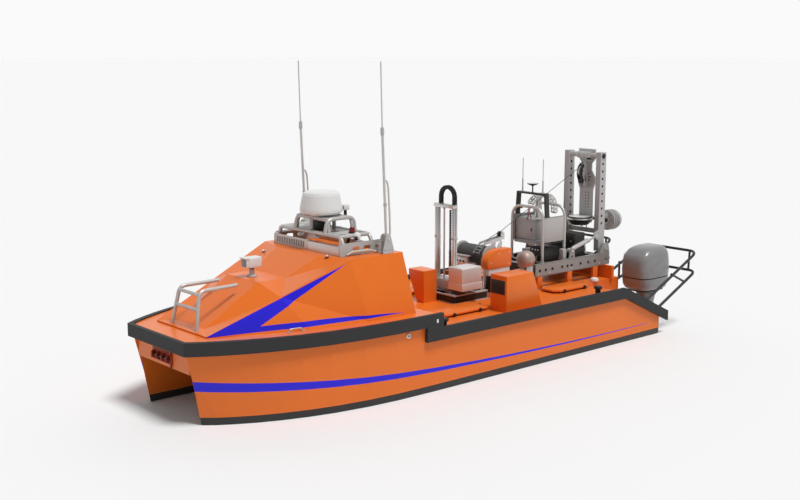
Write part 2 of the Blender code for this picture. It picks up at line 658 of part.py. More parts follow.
def make_antenna_arch():
    x, z0, top = -2.13, 1.50 + GAP, 1.81
    pieces = [plate("post", [(s * 0.252, z0), (s * 0.278, z0), (s * 0.256, top), (s * 0.230, top)],
                    x - 0.035, x + 0.035, "X") for s in (-1, 1)]
    pieces.append(box("bar", (x - 0.035, -0.25, top - 0.025), (x + 0.035, 0.25, top)))
    for s in (-1, 1):
        pieces.append(rod("whip", (x, s * 0.18, top - 0.01), (x, s * 0.18, 2.26), 0.007, 8))
    pieces.append(rod("stalk", (x, 0, top - 0.01), (x, 0, 1.92), 0.010, 10))
    pieces.append(rod("cap", (x, 0, 1.91), (x, 0, 1.94), 0.03, 20, 0.075))
    union("antenna_arch", pieces, "dark_paint")


def make_cable_guide():
    """A curved chute on the cabinet, over which the lines lead aft past the second hoop."""
    outer = [(-2.075, 1.690), (-2.13, 1.740), (-2.20, 1.775), (-2.29, 1.790), (-2.39, 1.785),
             (-2.48, 1.755), (-2.555, 1.695), (-2.595, 1.61), (-2.60, 1.50)]
    inner = [(-2.54, 1.50), (-2.535, 1.60), (-2.505, 1.665), (-2.45, 1.705), (-2.38, 1.728),
             (-2.29, 1.732), (-2.22, 1.718), (-2.15, 1.685), (-2.10, 1.645)]
    pieces = [plate("chute", outer + inner, -0.035, 0.035, "Y"),
              plate("stem", [(-2.22, 1.46 + GAP), (-2.22, 1.75), (-2.29, 1.75),
                             (-2.31, 1.46 + GAP)], -0.02, 0.02, "Y")]
    union("cable_guide", pieces, "galvanised_steel")


def make_a_frame():
    """Two channel legs that swing aft about pins in the base, and the shaft between their heads."""
    pieces = []
    for s in (-1, 1):
        y = s * A_LEG_Y
        outline = [(A_X - 0.06, A_PIVOT_Z - 0.06), (A_X + 0.06, A_PIVOT_Z - 0.06),
                   (A_X + 0.066, A_PIVOT_Z + 0.25), (A_X + 0.058, A_TOP_Z + 0.05),
                   (A_X - 0.058, A_TOP_Z + 0.05), (A_X - 0.066, A_PIVOT_Z + 0.25)]
        leg = plate("leg", outline, y - 0.04, y + 0.04, "Y")
        holes = [rod("hole", (A_X, y - 0.1, z), (A_X, y + 0.1, z), 0.018, 6) for z in
                 [A_PIVOT_Z + 0.36 + 0.085 * i for i in range(9)]]
        pieces.append(cut(leg, holes))
        pieces.append(rod("pin", (A_X, s * 0.30, A_PIVOT_Z), (A_X, s * 0.3595, A_PIVOT_Z), 0.03))
        pieces.append(plate("lug", [(A_X + 0.04, RAM_LUG[1] - 0.08),
                                    (RAM_LUG[0] + 0.025, RAM_LUG[1] - 0.025),
                                    (RAM_LUG[0] + 0.025, RAM_LUG[1] + 0.025),
                                    (A_X + 0.04, RAM_LUG[1] + 0.08)],
                            s * 0.309 - 0.008, s * 0.309 + 0.008, "Y"))
        pieces.append(rod("lug_pin", (RAM_LUG[0], s * 0.309, RAM_LUG[1]),
                          (RAM_LUG[0], s * 0.3337, RAM_LUG[1]), 0.012, 12))
    pieces.append(box("tie", (A_X - 0.03, -A_LEG_Y, 1.18), (A_X + 0.03, A_LEG_Y, 1.24)))
    pieces.append(rod("shaft", (A_X, -A_LEG_Y, A_TOP_Z), (A_X, A_LEG_Y, A_TOP_Z), 0.022))
    union("a_frame", pieces, "grey_paint")


def make_docking_head():
    """The plate that hangs from the A-frame's shaft, with the docking bell at its foot."""
    x, top = A_X, A_TOP_Z
    half = [(0.10, 1.31), (0.115, 1.36), (0.115, 1.77), (0.15, 1.86), (0.15, 1.94),
            (0.085, 2.04), (0.085, 2.13), (0.145, 2.20), (0.145, top + 0.08)]
    outline = half + [(-y, z) for y, z in reversed(half)]
    back = plate("back", outline, x - 0.055, x - 0.035, "X")
    slots = []
    for i in range(8):
        a = i * pi / 4
        slots.append(box("slot", (x - 0.1, 0.045 * cos(a) - 0.01, 1.93 + 0.045 * sin(a) - 0.01),
                         (x, 0.045 * cos(a) + 0.01, 1.93 + 0.045 * sin(a) + 0.01)))
    back = cut(back, slots)
    collar = rod("collar", (x, -0.11, top), (x, 0.11, top), 0.045, 24)
    arm = box("arm", (x - 0.52, -0.03, 1.32), (x - 0.05, 0.03, 1.38))
    bell = turned("bell", [(0, 0), (0.145, 0), (0.145, -0.10), (0.125, -0.18), (0.075, -0.245),
                           (0, -0.26)], (x - 0.50, 0, 1.29), "X", 24)
    dish = turned("dish", [(0, 0.12), (0.175, 0.12), (0.175, 0.04), (0.12, 0), (0, 0)],
                  (x + 0.08, 0, 1.285), "Z", 32)
    cheeks = [plate("cheek", [(x - 0.05, 1.78), (x - 0.05, 2.13), (x + 0.02, 2.16),
                              (x + 0.09, 2.13), (x + 0.14, 2.05), (x + 0.13, 1.95),
                              (x + 0.08, 1.86), (x + 0.03, 1.79)], d - 0.004, d + 0.004, "Y")
              for d in (-0.025, 0.025)]
    head = boolean(back, [collar, arm, bell, dish] + cheeks, "UNION", "docking_head")
    bores = [rod("bore", (x, -0.3, top), (x, 0.3, top), 0.0228, 16),
             rod("bore", (SHEAVE[0], -0.1, SHEAVE[1]), (SHEAVE[0], 0.1, SHEAVE[1]), 0.0106, 16)]
    finish(cut(head, bores), "grey_paint")
    wheel = turned("sheave", [(0, 0.029), (0.010, 0.029), (0.010, 0.012), (0.03, 0.012),
                              (0.07, 0.014), (0.07, 0.009), (0.058, 0), (0.07, -0.009),
                              (0.07, -0.014), (0.03, -0.012), (0.010, -0.012),
                              (0.010, -0.029), (0, -0.029)], (SHEAVE[0], 0, SHEAVE[1]), "Y", 24)
    finish(wheel, "dark_paint")


def make_rams():
    """A hydraulic ram each side: barrel on the base, rod to the A-frame's lug."""
    bx, bz = RAM_BASE
    lx, lz = RAM_LUG
    length = hypot(lx - bx, lz - bz)
    ux, uz = (lx - bx) / length, (lz - bz) / length
    for name, s in (("port", 1), ("starboard", -1)):
        y = s * 0.350
        barrel = rod("barrel", (bx, y, bz), (bx + ux * 0.40, y, bz + uz * 0.40), 0.028, 16)
        bore = rod("bore", (bx + ux * 0.045, y, bz + uz * 0.045),
                   (bx + ux * 0.50, y, bz + uz * 0.50), 0.0145 + 2 * GAP, 16)
        eye = rod("eye", (bx, y - 0.022, bz), (bx, y + 0.022, bz), 0.03, 16)
        pin = rod("pin", (bx, y - 0.1, bz), (bx, y + 0.1, bz), 0.0106)
        body = boolean(barrel, [eye], "UNION", "ram_barrel_" + name)
        finish(cut(body, [bore, pin]), "bright_steel")
        stem = rod("stem", (bx + ux * 0.055, y, bz + uz * 0.055), (lx, y, lz), 0.0145, 16)
        head = rod("head", (lx, y - 0.016, lz), (lx, y + 0.016, lz), 0.024, 16)
        union("ram_rod_" + name, [stem, head], "bright_steel")


# Stern: outboards and guard rails
def make_outboards():
    for side, s in (("port", 1), ("starboard", -1)):
        y = s * MOTOR_Y
        z0, z1 = COWL_Z
        rings = []
        for z, w, front, back in ((z0, 0.16, 0.20, 0.24), (z0 + 0.05, 0.22, 0.28, 0.31),
                                  (z0 + 0.30, 0.235, 0.31, 0.33), (z1 - 0.12, 0.225, 0.28, 0.31),
                                  (z1 - 0.03, 0.19, 0.22, 0.27), (z1, 0.13, 0.14, 0.20)):
            c = 0.09
            rings.append([(COWL_X + front - c, y - w, z), (COWL_X + front, y - w + c, z),
                          (COWL_X + front, y + w - c, z), (COWL_X + front - c, y + w, z),
                          (COWL_X - back + c, y + w, z), (COWL_X - back, y + w - c, z),
                          (COWL_X - back, y - w + c, z), (COWL_X - back + c, y - w, z)])
        cowl = loft("cowl", rings)
        legs = []
        for z, w, front, back in ((z0 + 0.02, 0.13, 0.12, 0.20), (0.20, 0.085, 0.02, 0.14),
                                  (-0.20, 0.05, -0.02, 0.13), (PROP_Z, 0.045, -0.04, 0.12)):
            legs.append([(COWL_X + front, y - w * 0.4, z), (COWL_X + front, y + w * 0.4, z),
                         (COWL_X + (front - back) / 2, y + w, z), (COWL_X - back, y + w * 0.4, z),
                         (COWL_X - back, y - w * 0.4, z), (COWL_X + (front - back) / 2, y - w, z)])
        leg = loft("leg", legs)
        vent = plate("vent", [(COWL_X + 0.02, y - 0.05), (COWL_X + 0.02, y + 0.05),
                              (COWL_X - 0.10, y + 0.08), (COWL_X - 0.30, y + 0.07),
                              (COWL_X - 0.30, y - 0.07), (COWL_X - 0.10, y - 0.08)],
                     PROP_Z + 0.165, PROP_Z + 0.175)
        gear = turned("gear", [(0, 0.20), (0.035, 0.17), (0.055, 0.09), (0.055, -0.14),
                               (0, -0.14)], (COWL_X - 0.08, y, PROP_Z), "X", 20)
        skeg = plate("skeg", [(COWL_X + 0.02, PROP_Z), (COWL_X - 0.02, PROP_Z - 0.11),
                              (COWL_X - 0.14, PROP_Z - 0.17), (COWL_X - 0.18, PROP_Z - 0.17),
                              (COWL_X - 0.15, PROP_Z)], y - 0.006, y + 0.006, "Y")
        swivel = rod("swivel", (STEER_X, y, 0.02), (STEER_X, y, 0.30), 0.028, 16)
        arm_top = box("arm", (COWL_X - 0.02, y - 0.03, 0.27), (STEER_X + 0.01, y + 0.03, 0.30))
        arm_low = box("arm", (COWL_X - 0.02, y - 0.03, 0.02), (STEER_X + 0.01, y + 0.03, 0.05))
        union("outboard_" + side, [cowl, leg, vent, gear, skeg, swivel, arm_top, arm_low],
              "cowl_grey")
        clamp = box("clamp", (TRANSOM_X - 0.06, y - 0.10, 0.0), (TRANSOM_X - GAP, y + 0.10, 0.22))
        hook = box("hook", (TRANSOM_X - 0.06, y - 0.10, TRANSOM_TOP_Z + 0.02),
                   (TRANSOM_X + 0.02, y + 0.10, 0.245))
        sleeve = rod("sleeve", (STEER_X, y, 0.055), (STEER_X, y, 0.265), 0.055, 24)
        web = box("web", (STEER_X, y - 0.04, 0.07), (TRANSOM_X - 0.03, y + 0.04, 0.20))
        body = boolean(clamp, [hook, sleeve, web], "UNION", "outboard_bracket_" + side)
        bore = rod("bore", (STEER_X, y, -0.1), (STEER_X, y, 0.4), 0.028 + 2 * GAP, 24)
        finish(cut(body, [bore]), "cowl_grey")
        make_propeller(side, y)
        make_guard(side, y)


def make_propeller(side, y):
    front = COWL_X - 0.08 - 0.14 - GAP
    hub = turned("hub", [(0, 0), (0.05, 0), (0.045, -0.12), (0.02, -0.15), (0, -0.15)],
                 (front, y, PROP_Z), "X", 20)
    blades = []
    for i in range(3):
        work = bmesh.new()
        bmesh.ops.create_cube(work, size=1.0)
        bmesh.ops.scale(work, vec=(0.008, 0.085, 0.125), verts=work.verts)
        bmesh.ops.rotate(work, matrix=Matrix.Rotation(radians(40), 3, "Z"), verts=work.verts)
        bmesh.ops.translate(work, vec=(0, 0, 0.10), verts=work.verts)
        bmesh.ops.rotate(work, matrix=Matrix.Rotation(i * 2 * pi / 3, 3, "X"), verts=work.verts)
        bmesh.ops.translate(work, vec=(front - 0.06, y, PROP_Z), verts=work.verts)
        mesh = bpy.data.meshes.new("blade")
        work.to_mesh(mesh)
        work.free()
        blades.append(add_mesh("blade", mesh))
    union("propeller_" + side, [hub] + blades, "dark_paint")


def ring(name, x, y, z, radius, wire):
    bpy.ops.mesh.primitive_torus_add(location=(x, y, z), rotation=(0, pi / 2, 0),
                                     major_radius=radius, minor_radius=wire,
                                     major_segments=24, minor_segments=6)
    obj = bpy.context.object
    bpy.context.view_layer.update()
    return to_mesh(obj, name)


def make_guard(side, y):
    """Two wire rings around the propeller, tied by bars and hung from the vent plate."""
    aft, fwd = COWL_X - 0.42, COWL_X - 0.20
    pieces = [ring("ring", x, y, PROP_Z, GUARD_R, 0.007) for x in (aft, fwd)]
    for i in range(6):
        a = (i + 0.37) * pi / 3
        dy, dz = GUARD_R * sin(a), GUARD_R * cos(a)
        pieces.append(rod("bar", (aft - 0.0023, y + dy, PROP_Z + dz),
                          (fwd + 0.0023, y + dy, PROP_Z + dz), 0.0047, 6))
    for a in (0.11, 0.11 + pi / 2):
        dy, dz = GUARD_R * sin(a), GUARD_R * cos(a)
        pieces.append(rod("spoke", (aft, y - dy, PROP_Z - dz), (aft, y + dy, PROP_Z + dz),
                          0.0041, 6))
    pieces.append(rod("stay", (fwd, y, PROP_Z + 0.1753), (fwd, y, PROP_Z + GUARD_R + 0.004),
                      0.014, 8))
    union("propeller_guard_" + side, pieces, "bright_steel")


def make_stern_rails():
    """A two-bar guard around each outboard, from the sloped hull top to the bridge deck."""
    r = 0.019
    out_y, in_y, aft = 1.19, 0.28, -4.20
    slope = (DECK_AFT_Z - TRANSOM_TOP_Z) / (KNEE_X - TRANSOM_X)
    up = Vector((-slope, 0, 1)).normalized()
    feet = [Vector((x, out_y, TRANSOM_TOP_Z + slope * (x - TRANSOM_X))) for x in (-3.02, -3.29)]
    upper = [feet[0] + up * 0.03, (aft, out_y, 0.93), (aft, in_y, 0.93), (-3.35, in_y, 0.56)]
    lower = [feet[1] + up * 0.03, (aft + 0.02, out_y, 0.66), (aft + 0.02, in_y, 0.66),
             (-3.35, in_y, 0.40)]
    pieces = [tube("upper", upper, r, 0.13), tube("lower", lower, r, 0.11)]
    for y in (out_y - 0.12, in_y + 0.12):
        pieces.append(rod("strut", (aft, y, 0.93), (aft + 0.02, y, 0.66), 0.016, 10))
    pieces.append(rod("strut", (-3.62, out_y, 0.686), (-3.90, out_y, 0.556), 0.016, 10))
    pieces.append(rod("strut", (-3.66, in_y, 0.737), (-3.66, in_y, 0.510), 0.016, 10))
    pieces.append(box("sole", (-3.375, in_y - 0.05, 0.36), (TRANSOM_X - GAP, in_y + 0.05, 0.585)))
    pieces += [rod("foot", foot + up * GAP, foot + up * 0.045, 0.03, 12) for foot in feet]
    port = union("stern_rail_port", pieces, "black_rubber")
    mirrored(port, "stern_rail_starboard", "black_rubber")


make_hulls()
make_bridge_deck()
make_fenders()
make_casing()
make_bow_rail()
make_camera()
make_platform()
make_antennas()
make_hoist()
make_winch()
make_deck_box()
make_hatches()
make_bollards()
make_launch_base()
make_hoops()
make_antenna_arch()
make_cable_guide()
make_a_frame()
make_docking_head()
make_rams()
make_outboards()
make_stern_rails()
set_on_waterline()
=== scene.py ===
"""Looks for the uncrewed surface vessel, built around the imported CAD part.

Heights in this file count from the top of the bottom paint, as in the drawing.
Each piece is lifted by LIFT as it is made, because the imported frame's z = 0 is the waterline.
"""

from functools import partialmethod
from math import cos, pi, radians, sin

import bmesh
import bpy
from mathutils import Matrix, Vector


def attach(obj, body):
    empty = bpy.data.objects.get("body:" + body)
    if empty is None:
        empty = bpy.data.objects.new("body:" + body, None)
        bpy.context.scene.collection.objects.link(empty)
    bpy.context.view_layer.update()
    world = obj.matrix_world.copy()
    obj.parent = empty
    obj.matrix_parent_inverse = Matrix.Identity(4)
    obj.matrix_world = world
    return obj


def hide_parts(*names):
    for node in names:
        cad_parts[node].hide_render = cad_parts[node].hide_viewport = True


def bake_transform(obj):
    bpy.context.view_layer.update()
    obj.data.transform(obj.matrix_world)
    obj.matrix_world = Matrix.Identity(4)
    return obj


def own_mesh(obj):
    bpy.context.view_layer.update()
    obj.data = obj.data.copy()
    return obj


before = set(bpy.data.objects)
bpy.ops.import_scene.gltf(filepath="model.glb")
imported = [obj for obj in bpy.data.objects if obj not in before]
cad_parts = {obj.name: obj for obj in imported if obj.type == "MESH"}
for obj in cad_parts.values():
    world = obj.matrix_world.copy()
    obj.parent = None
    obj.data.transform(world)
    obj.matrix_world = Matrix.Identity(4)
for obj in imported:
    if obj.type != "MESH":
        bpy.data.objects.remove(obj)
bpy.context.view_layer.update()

LIFT = 0.08
SIDES = (("port", 1), ("starboard", -1))
DECK, ROOF = 0.5905, 1.4605         # a hair above the CAD's faces
HOIST_X, HOIST_TOP = -0.555, 1.795  # middle and top of the hoist's mast
LEAD_X = HOIST_X + 0.03             # the hoist's lead screw
WINCH = (-1.14, -0.05, 1.09)        # middle of the winch's drum
WINCH_FRONT = -0.985
LEVEL_X = WINCH[0] - 0.19           # the level-wind's guide bar
FRAME_X, FRAME_HEAD = -3.19, 2.25   # plane of the A-frame, and height of its cross shaft
MOTOR_Y, SCREW_Z = 0.74, -0.43      # outboards, and height of their propeller shafts


# ---------------------------------------------------------------- materials
class Value:
    """A node socket that builds Math nodes when it is used in arithmetic."""

    def __init__(self, tree, socket):
        self.tree, self.socket = tree, socket

    def math(self, operation, other=None):
        node = self.tree.nodes.new("ShaderNodeMath")
        node.operation = operation
        self.tree.links.new(self.socket, node.inputs[0])
        if isinstance(other, Value):
            self.tree.links.new(other.socket, node.inputs[1])
        elif other is not None:
            node.inputs[1].default_value = other
        return Value(self.tree, node.outputs[0])

    __add__ = partialmethod(math, "ADD")
    __sub__ = partialmethod(math, "SUBTRACT")
    __mul__ = partialmethod(math, "MULTIPLY")
    __lt__ = partialmethod(math, "LESS_THAN")
    __gt__ = partialmethod(math, "GREATER_THAN")
    size = partialmethod(math, "ABSOLUTE")
    either = partialmethod(math, "MAXIMUM")


def new_material(name):
    material = bpy.data.materials.new(name)
    material.use_nodes = True
    return material, material.node_tree, material.node_tree.nodes["Principled BSDF"]


def parts_of(tree, socket):
    """The X, Y and Z of a vector socket."""
    split = tree.nodes.new("ShaderNodeSeparateXYZ")
    tree.links.new(socket, split.inputs[0])
    return [Value(tree, part) for part in split.outputs]


def normal_parts(tree):
    return parts_of(tree, tree.nodes.new("ShaderNodeNewGeometry").outputs["Normal"])


def noise(tree, place, scale, detail=3.0, stretch=None):
    node = tree.nodes.new("ShaderNodeTexNoise")
    node.inputs["Scale"].default_value = scale
    node.inputs["Detail"].default_value = detail
    if stretch:
        mapping = tree.nodes.new("ShaderNodeMapping")
        mapping.inputs["Scale"].default_value = stretch
        tree.links.new(place, mapping.inputs["Vector"])
        place = mapping.outputs[0]
    tree.links.new(place, node.inputs["Vector"])
    return Value(tree, node.outputs[0])


def mixed(tree, factor, first, second):
    """A colour between two colours, either of which may be a socket."""
    node = tree.nodes.new("ShaderNodeMix")
    node.data_type = "RGBA"
    tree.links.new(factor.socket, node.inputs[0])
    for slot, colour in ((6, first), (7, second)):
        if isinstance(colour, tuple):
            node.inputs[slot].default_value = (*colour, 1.0)
        else:
            tree.links.new(colour, node.inputs[slot])
    return node.outputs[2]


def ranged(tree, value, bounds, results):
    """A value taken from one range to another."""
    node = tree.nodes.new("ShaderNodeMapRange")
    tree.links.new(value.socket, node.inputs[0])
    for slot, level in enumerate((*bounds, *results), 1):
        node.inputs[slot].default_value = level
    return node


def bump(tree, shader, height, strength, distance):
    node = tree.nodes.new("ShaderNodeBump")
    node.inputs["Strength"].default_value = strength
    node.inputs["Distance"].default_value = distance
    tree.links.new(height.socket, node.inputs["Height"])
    tree.links.new(node.outputs[0], shader.inputs["Normal"])


def shade(colour, factor):
    return tuple(min(1.0, c * factor) for c in colour)


def surface(name, colour, rough, metallic, coat, spread, grain, relief, stretch=None, layers=()):
    """A finish with mottled colour and roughness, fine relief, and masked colour layers."""
    material, tree, shader = new_material(name)
    place = tree.nodes.new("ShaderNodeTexCoord").outputs["Object"]
    x, y, z = parts_of(tree, place)
    height = z - LIFT
    fine = noise(tree, place, grain, 4.0, stretch)
    broad = noise(tree, place, 1.7)
    base = mixed(tree, broad, shade(colour, 1 - spread), shade(colour, 1 + spread))
    for mask, tint in layers:
        base = mixed(tree, mask(tree, x, y, height), base, tint)
    tree.links.new(base, shader.inputs["Base Color"])
    roughness = ranged(tree, fine, (0.3, 0.7), (rough * 0.85, min(1.0, rough * 1.15)))
    tree.links.new(roughness.outputs[0], shader.inputs["Roughness"])
    for socket, value in (("Metallic", metallic), ("Coat Weight", coat),
                          ("Coat Roughness", 0.08), ("Specular IOR Level", 0.3)):
        shader.inputs[socket].default_value = value
    bump(tree, shader, fine, 0.35, relief)
    return material


ORANGE = (0.8, 0.172, 0.018)
BLUE = (0.018, 0.011, 0.68)
CHARCOAL = (0.03, 0.031, 0.031)
# Lighter grey for faces that point down: painted light on the hull's underside, as if lit from
# below
UNDERSIDE_LIGHT_GREY = (0.42, 0.42, 0.42)


def hull_stripe(tree, x, y, z):
    """A blue stripe that rises and widens towards the stem."""
    fore = x * (x > 0.0)
    top = x * x * 0.0071 + x * 0.04 + fore * 0.005 + 0.158
    low = x * x * 0.00695 + x * 0.0305 - fore * 0.006 + 0.1254
    return (z < top) * (z > low) * (y.size() > 0.5225) * (x > -3.1)


def bottom_paint(tree, x, y, z):
    return z < 0.0


# Faces that point down get the lighter grey: painted light from below on the hull's underside
def underside_painted_light(tree, x, y, z):
    return normal_parts(tree)[2] < -0.5


def casing_arrow(tree, x, y, z):
    """A swept arrow head on the casing's flank, its long tail along the foot."""
    under_top = z < (x * -1.0 + 3.219) * 0.385 + 0.816
    over_inner = z > (x * -1.0 + 2.676) * 0.5305 + 0.877
    mid = x - 1.75
    over_foot = z > mid * mid * -0.012 + 0.832
    near = x - 2.2
    under_tail = z < near * near * -0.04 + 0.883
    head = under_top * over_inner * over_foot * (x > 1.655)
    tail = under_tail * over_foot * under_top * (x > 0.985)
    return head.either(tail) * (normal_parts(tree)[1].size() > 0.5)


FINISHES = {
    # key: name, colour, roughness, metallic, coat, mottling, grain, relief, stretch of the grain
    "hull": ("hull_gelcoat", ORANGE, 0.36, 0, 0.1, 0.05, 320, 0.00015),
    "casing": ("casing_gelcoat", ORANGE, 0.36, 0, 0.1, 0.05, 320, 0.00015),
    "orange": ("orange_gelcoat", ORANGE, 0.36, 0, 0.1, 0.06, 320, 0.00015),
    "rubber": ("fender_rubber", CHARCOAL, 0.62, 0, 0, 0.1, 240, 0.0006),
    "black": ("black_plastic", (0.018, 0.018, 0.018), 0.45, 0, 0, 0.1, 400, 0.0003),
    "tube_black": ("coated_tube", (0.022, 0.022, 0.024), 0.3, 0, 0.5, 0.08, 300, 0.0002),
    "galv": ("galvanised_steel", (0.6, 0.585, 0.565), 0.42, 0.45, 0, 0.1, 90, 0.0002),
    "steel": ("stainless_steel", (0.66, 0.65, 0.64), 0.38, 0.8, 0, 0.05, 120, 0.0001, (1, 1, 22)),
    "brushed": ("brushed_cabinet", (0.74, 0.71, 0.69), 0.52, 0.45, 0, 0.04, 160, 0.0001,
                (1, 1, 18)),
    "aluminium": ("aluminium", (0.66, 0.66, 0.66), 0.34, 0.85, 0, 0.05, 140, 0.0001,
                  (1, 1, 0.05)),
    "grey": ("grey_paint", (0.48, 0.48, 0.475), 0.42, 0.1, 0, 0.07, 260, 0.0002),
    "channel": ("weathered_channel", (0.36, 0.365, 0.355), 0.45, 0.5, 0, 0.1, 120, 0.0002),
    "dull": ("dull_casting", (0.46, 0.36, 0.32), 0.5, 0.3, 0, 0.06, 200, 0.0002),
    "dark": ("dark_paint", (0.045, 0.045, 0.042), 0.48, 0, 0, 0.1, 260, 0.0002),
    "white": ("white_plastic", (0.74, 0.74, 0.73), 0.36, 0, 0, 0.03, 420, 0.0001),
    "cowl": ("cowl_grey", (0.25, 0.25, 0.255), 0.36, 0, 0.35, 0.06, 300, 0.0002),
    "cable": ("winch_cable", (0.1, 0.1, 0.1), 0.55, 0.3, 0, 0.15, 700, 0.0008),
    "red": ("red_lens", (0.2, 0.01, 0.014), 0.16, 0, 0.8, 0.05, 200, 0.0001),
    "lens": ("camera_glass", (0.012, 0.012, 0.014), 0.06, 0, 1.0, 0.05, 200, 0.00005),
    "tow_red": ("towing_paint", (0.3, 0.03, 0.012), 0.42, 0, 0, 0.15, 260, 0.0003),
    "cream": ("conduit_plastic", (0.62, 0.58, 0.48), 0.45, 0, 0, 0.08, 300, 0.0002),
    "anode": ("bronze_blade", (0.3, 0.29, 0.28), 0.35, 0.9, 0, 0.08, 200, 0.0001),
}
LAYERS = {
    # The hull's last layer paints light from below onto its downward-facing faces
    "hull": ((hull_stripe, BLUE), (bottom_paint, CHARCOAL), (underside_painted_light, UNDERSIDE_LIGHT_GREY)),
    "casing": ((casing_arrow, BLUE),),
}
M = {key: surface(*row, layers=LAYERS.get(key, ())) for key, row in FINISHES.items()}


# ---------------------------------------------------------------- modelling
def rounded(points, radius, steps=6):
    """A polyline whose inner corners are replaced by short arcs."""
    points = [Vector(p) for p in points]
    path = [points[0]]
    for before, corner, after in zip(points, points[1:], points[2:]):
        into, out = before - corner, after - corner
        reach = min(radius, into.length * 0.47, out.length * 0.47)
        a, b = corner + into.normalized() * reach, corner + out.normalized() * reach
        for t in (i / steps for i in range(steps + 1)):
            path.append(a * (1 - t) ** 2 + corner * 2 * t * (1 - t) + b * t ** 2)
    return path + points[-1:]


def arc(centre, radius, start, end, steps=10):
    """Points in a plane, from one angle to another in degrees."""
    angles = [radians(start + (end - start) * i / steps) for i in range(steps + 1)]
    return [(centre[0] + radius * cos(a), centre[1] + radius * sin(a)) for a in angles]


def circle(count, radius, centre=(0, 0), start=0.0):
    """Even points round a circle, the first one by a share of a step."""
    angles = [2 * pi * (k + start) / count for k in range(count)]
    return [(centre[0] + radius * cos(a), centre[1] + radius * sin(a)) for a in angles]


def square(u0, v0, u1, v1):
    return [(u0, v0), (u1, v0), (u1, v1), (u0, v1)]


def round_hole(u, v, radius, steps=12):
    return circle(steps, radius, (u, v))


def slot_hole(u, v, length, width, angle=0.0):
    """A round-ended slot about a point."""
    reach, radius = (length - width) / 2, width / 2
    c, s = cos(radians(angle)), sin(radians(angle))
    return [(u + a * c - b * s, v + a * s + b * c)
            for a, b in arc((reach, 0), radius, -90, 90, 6) + arc((-reach, 0), radius, 90, 270, 6)]


def mirrored(profile):
    """A profile and its mirror image below the middle."""
    return profile + [(r, -h) for r, h in reversed(profile)]


def portal(x, foot, low, head, high):
    """A path across the boat that goes up, over and down again."""
    return [(x, -foot, low), (x, -head, high), (x, head, high), (x, foot, low)]


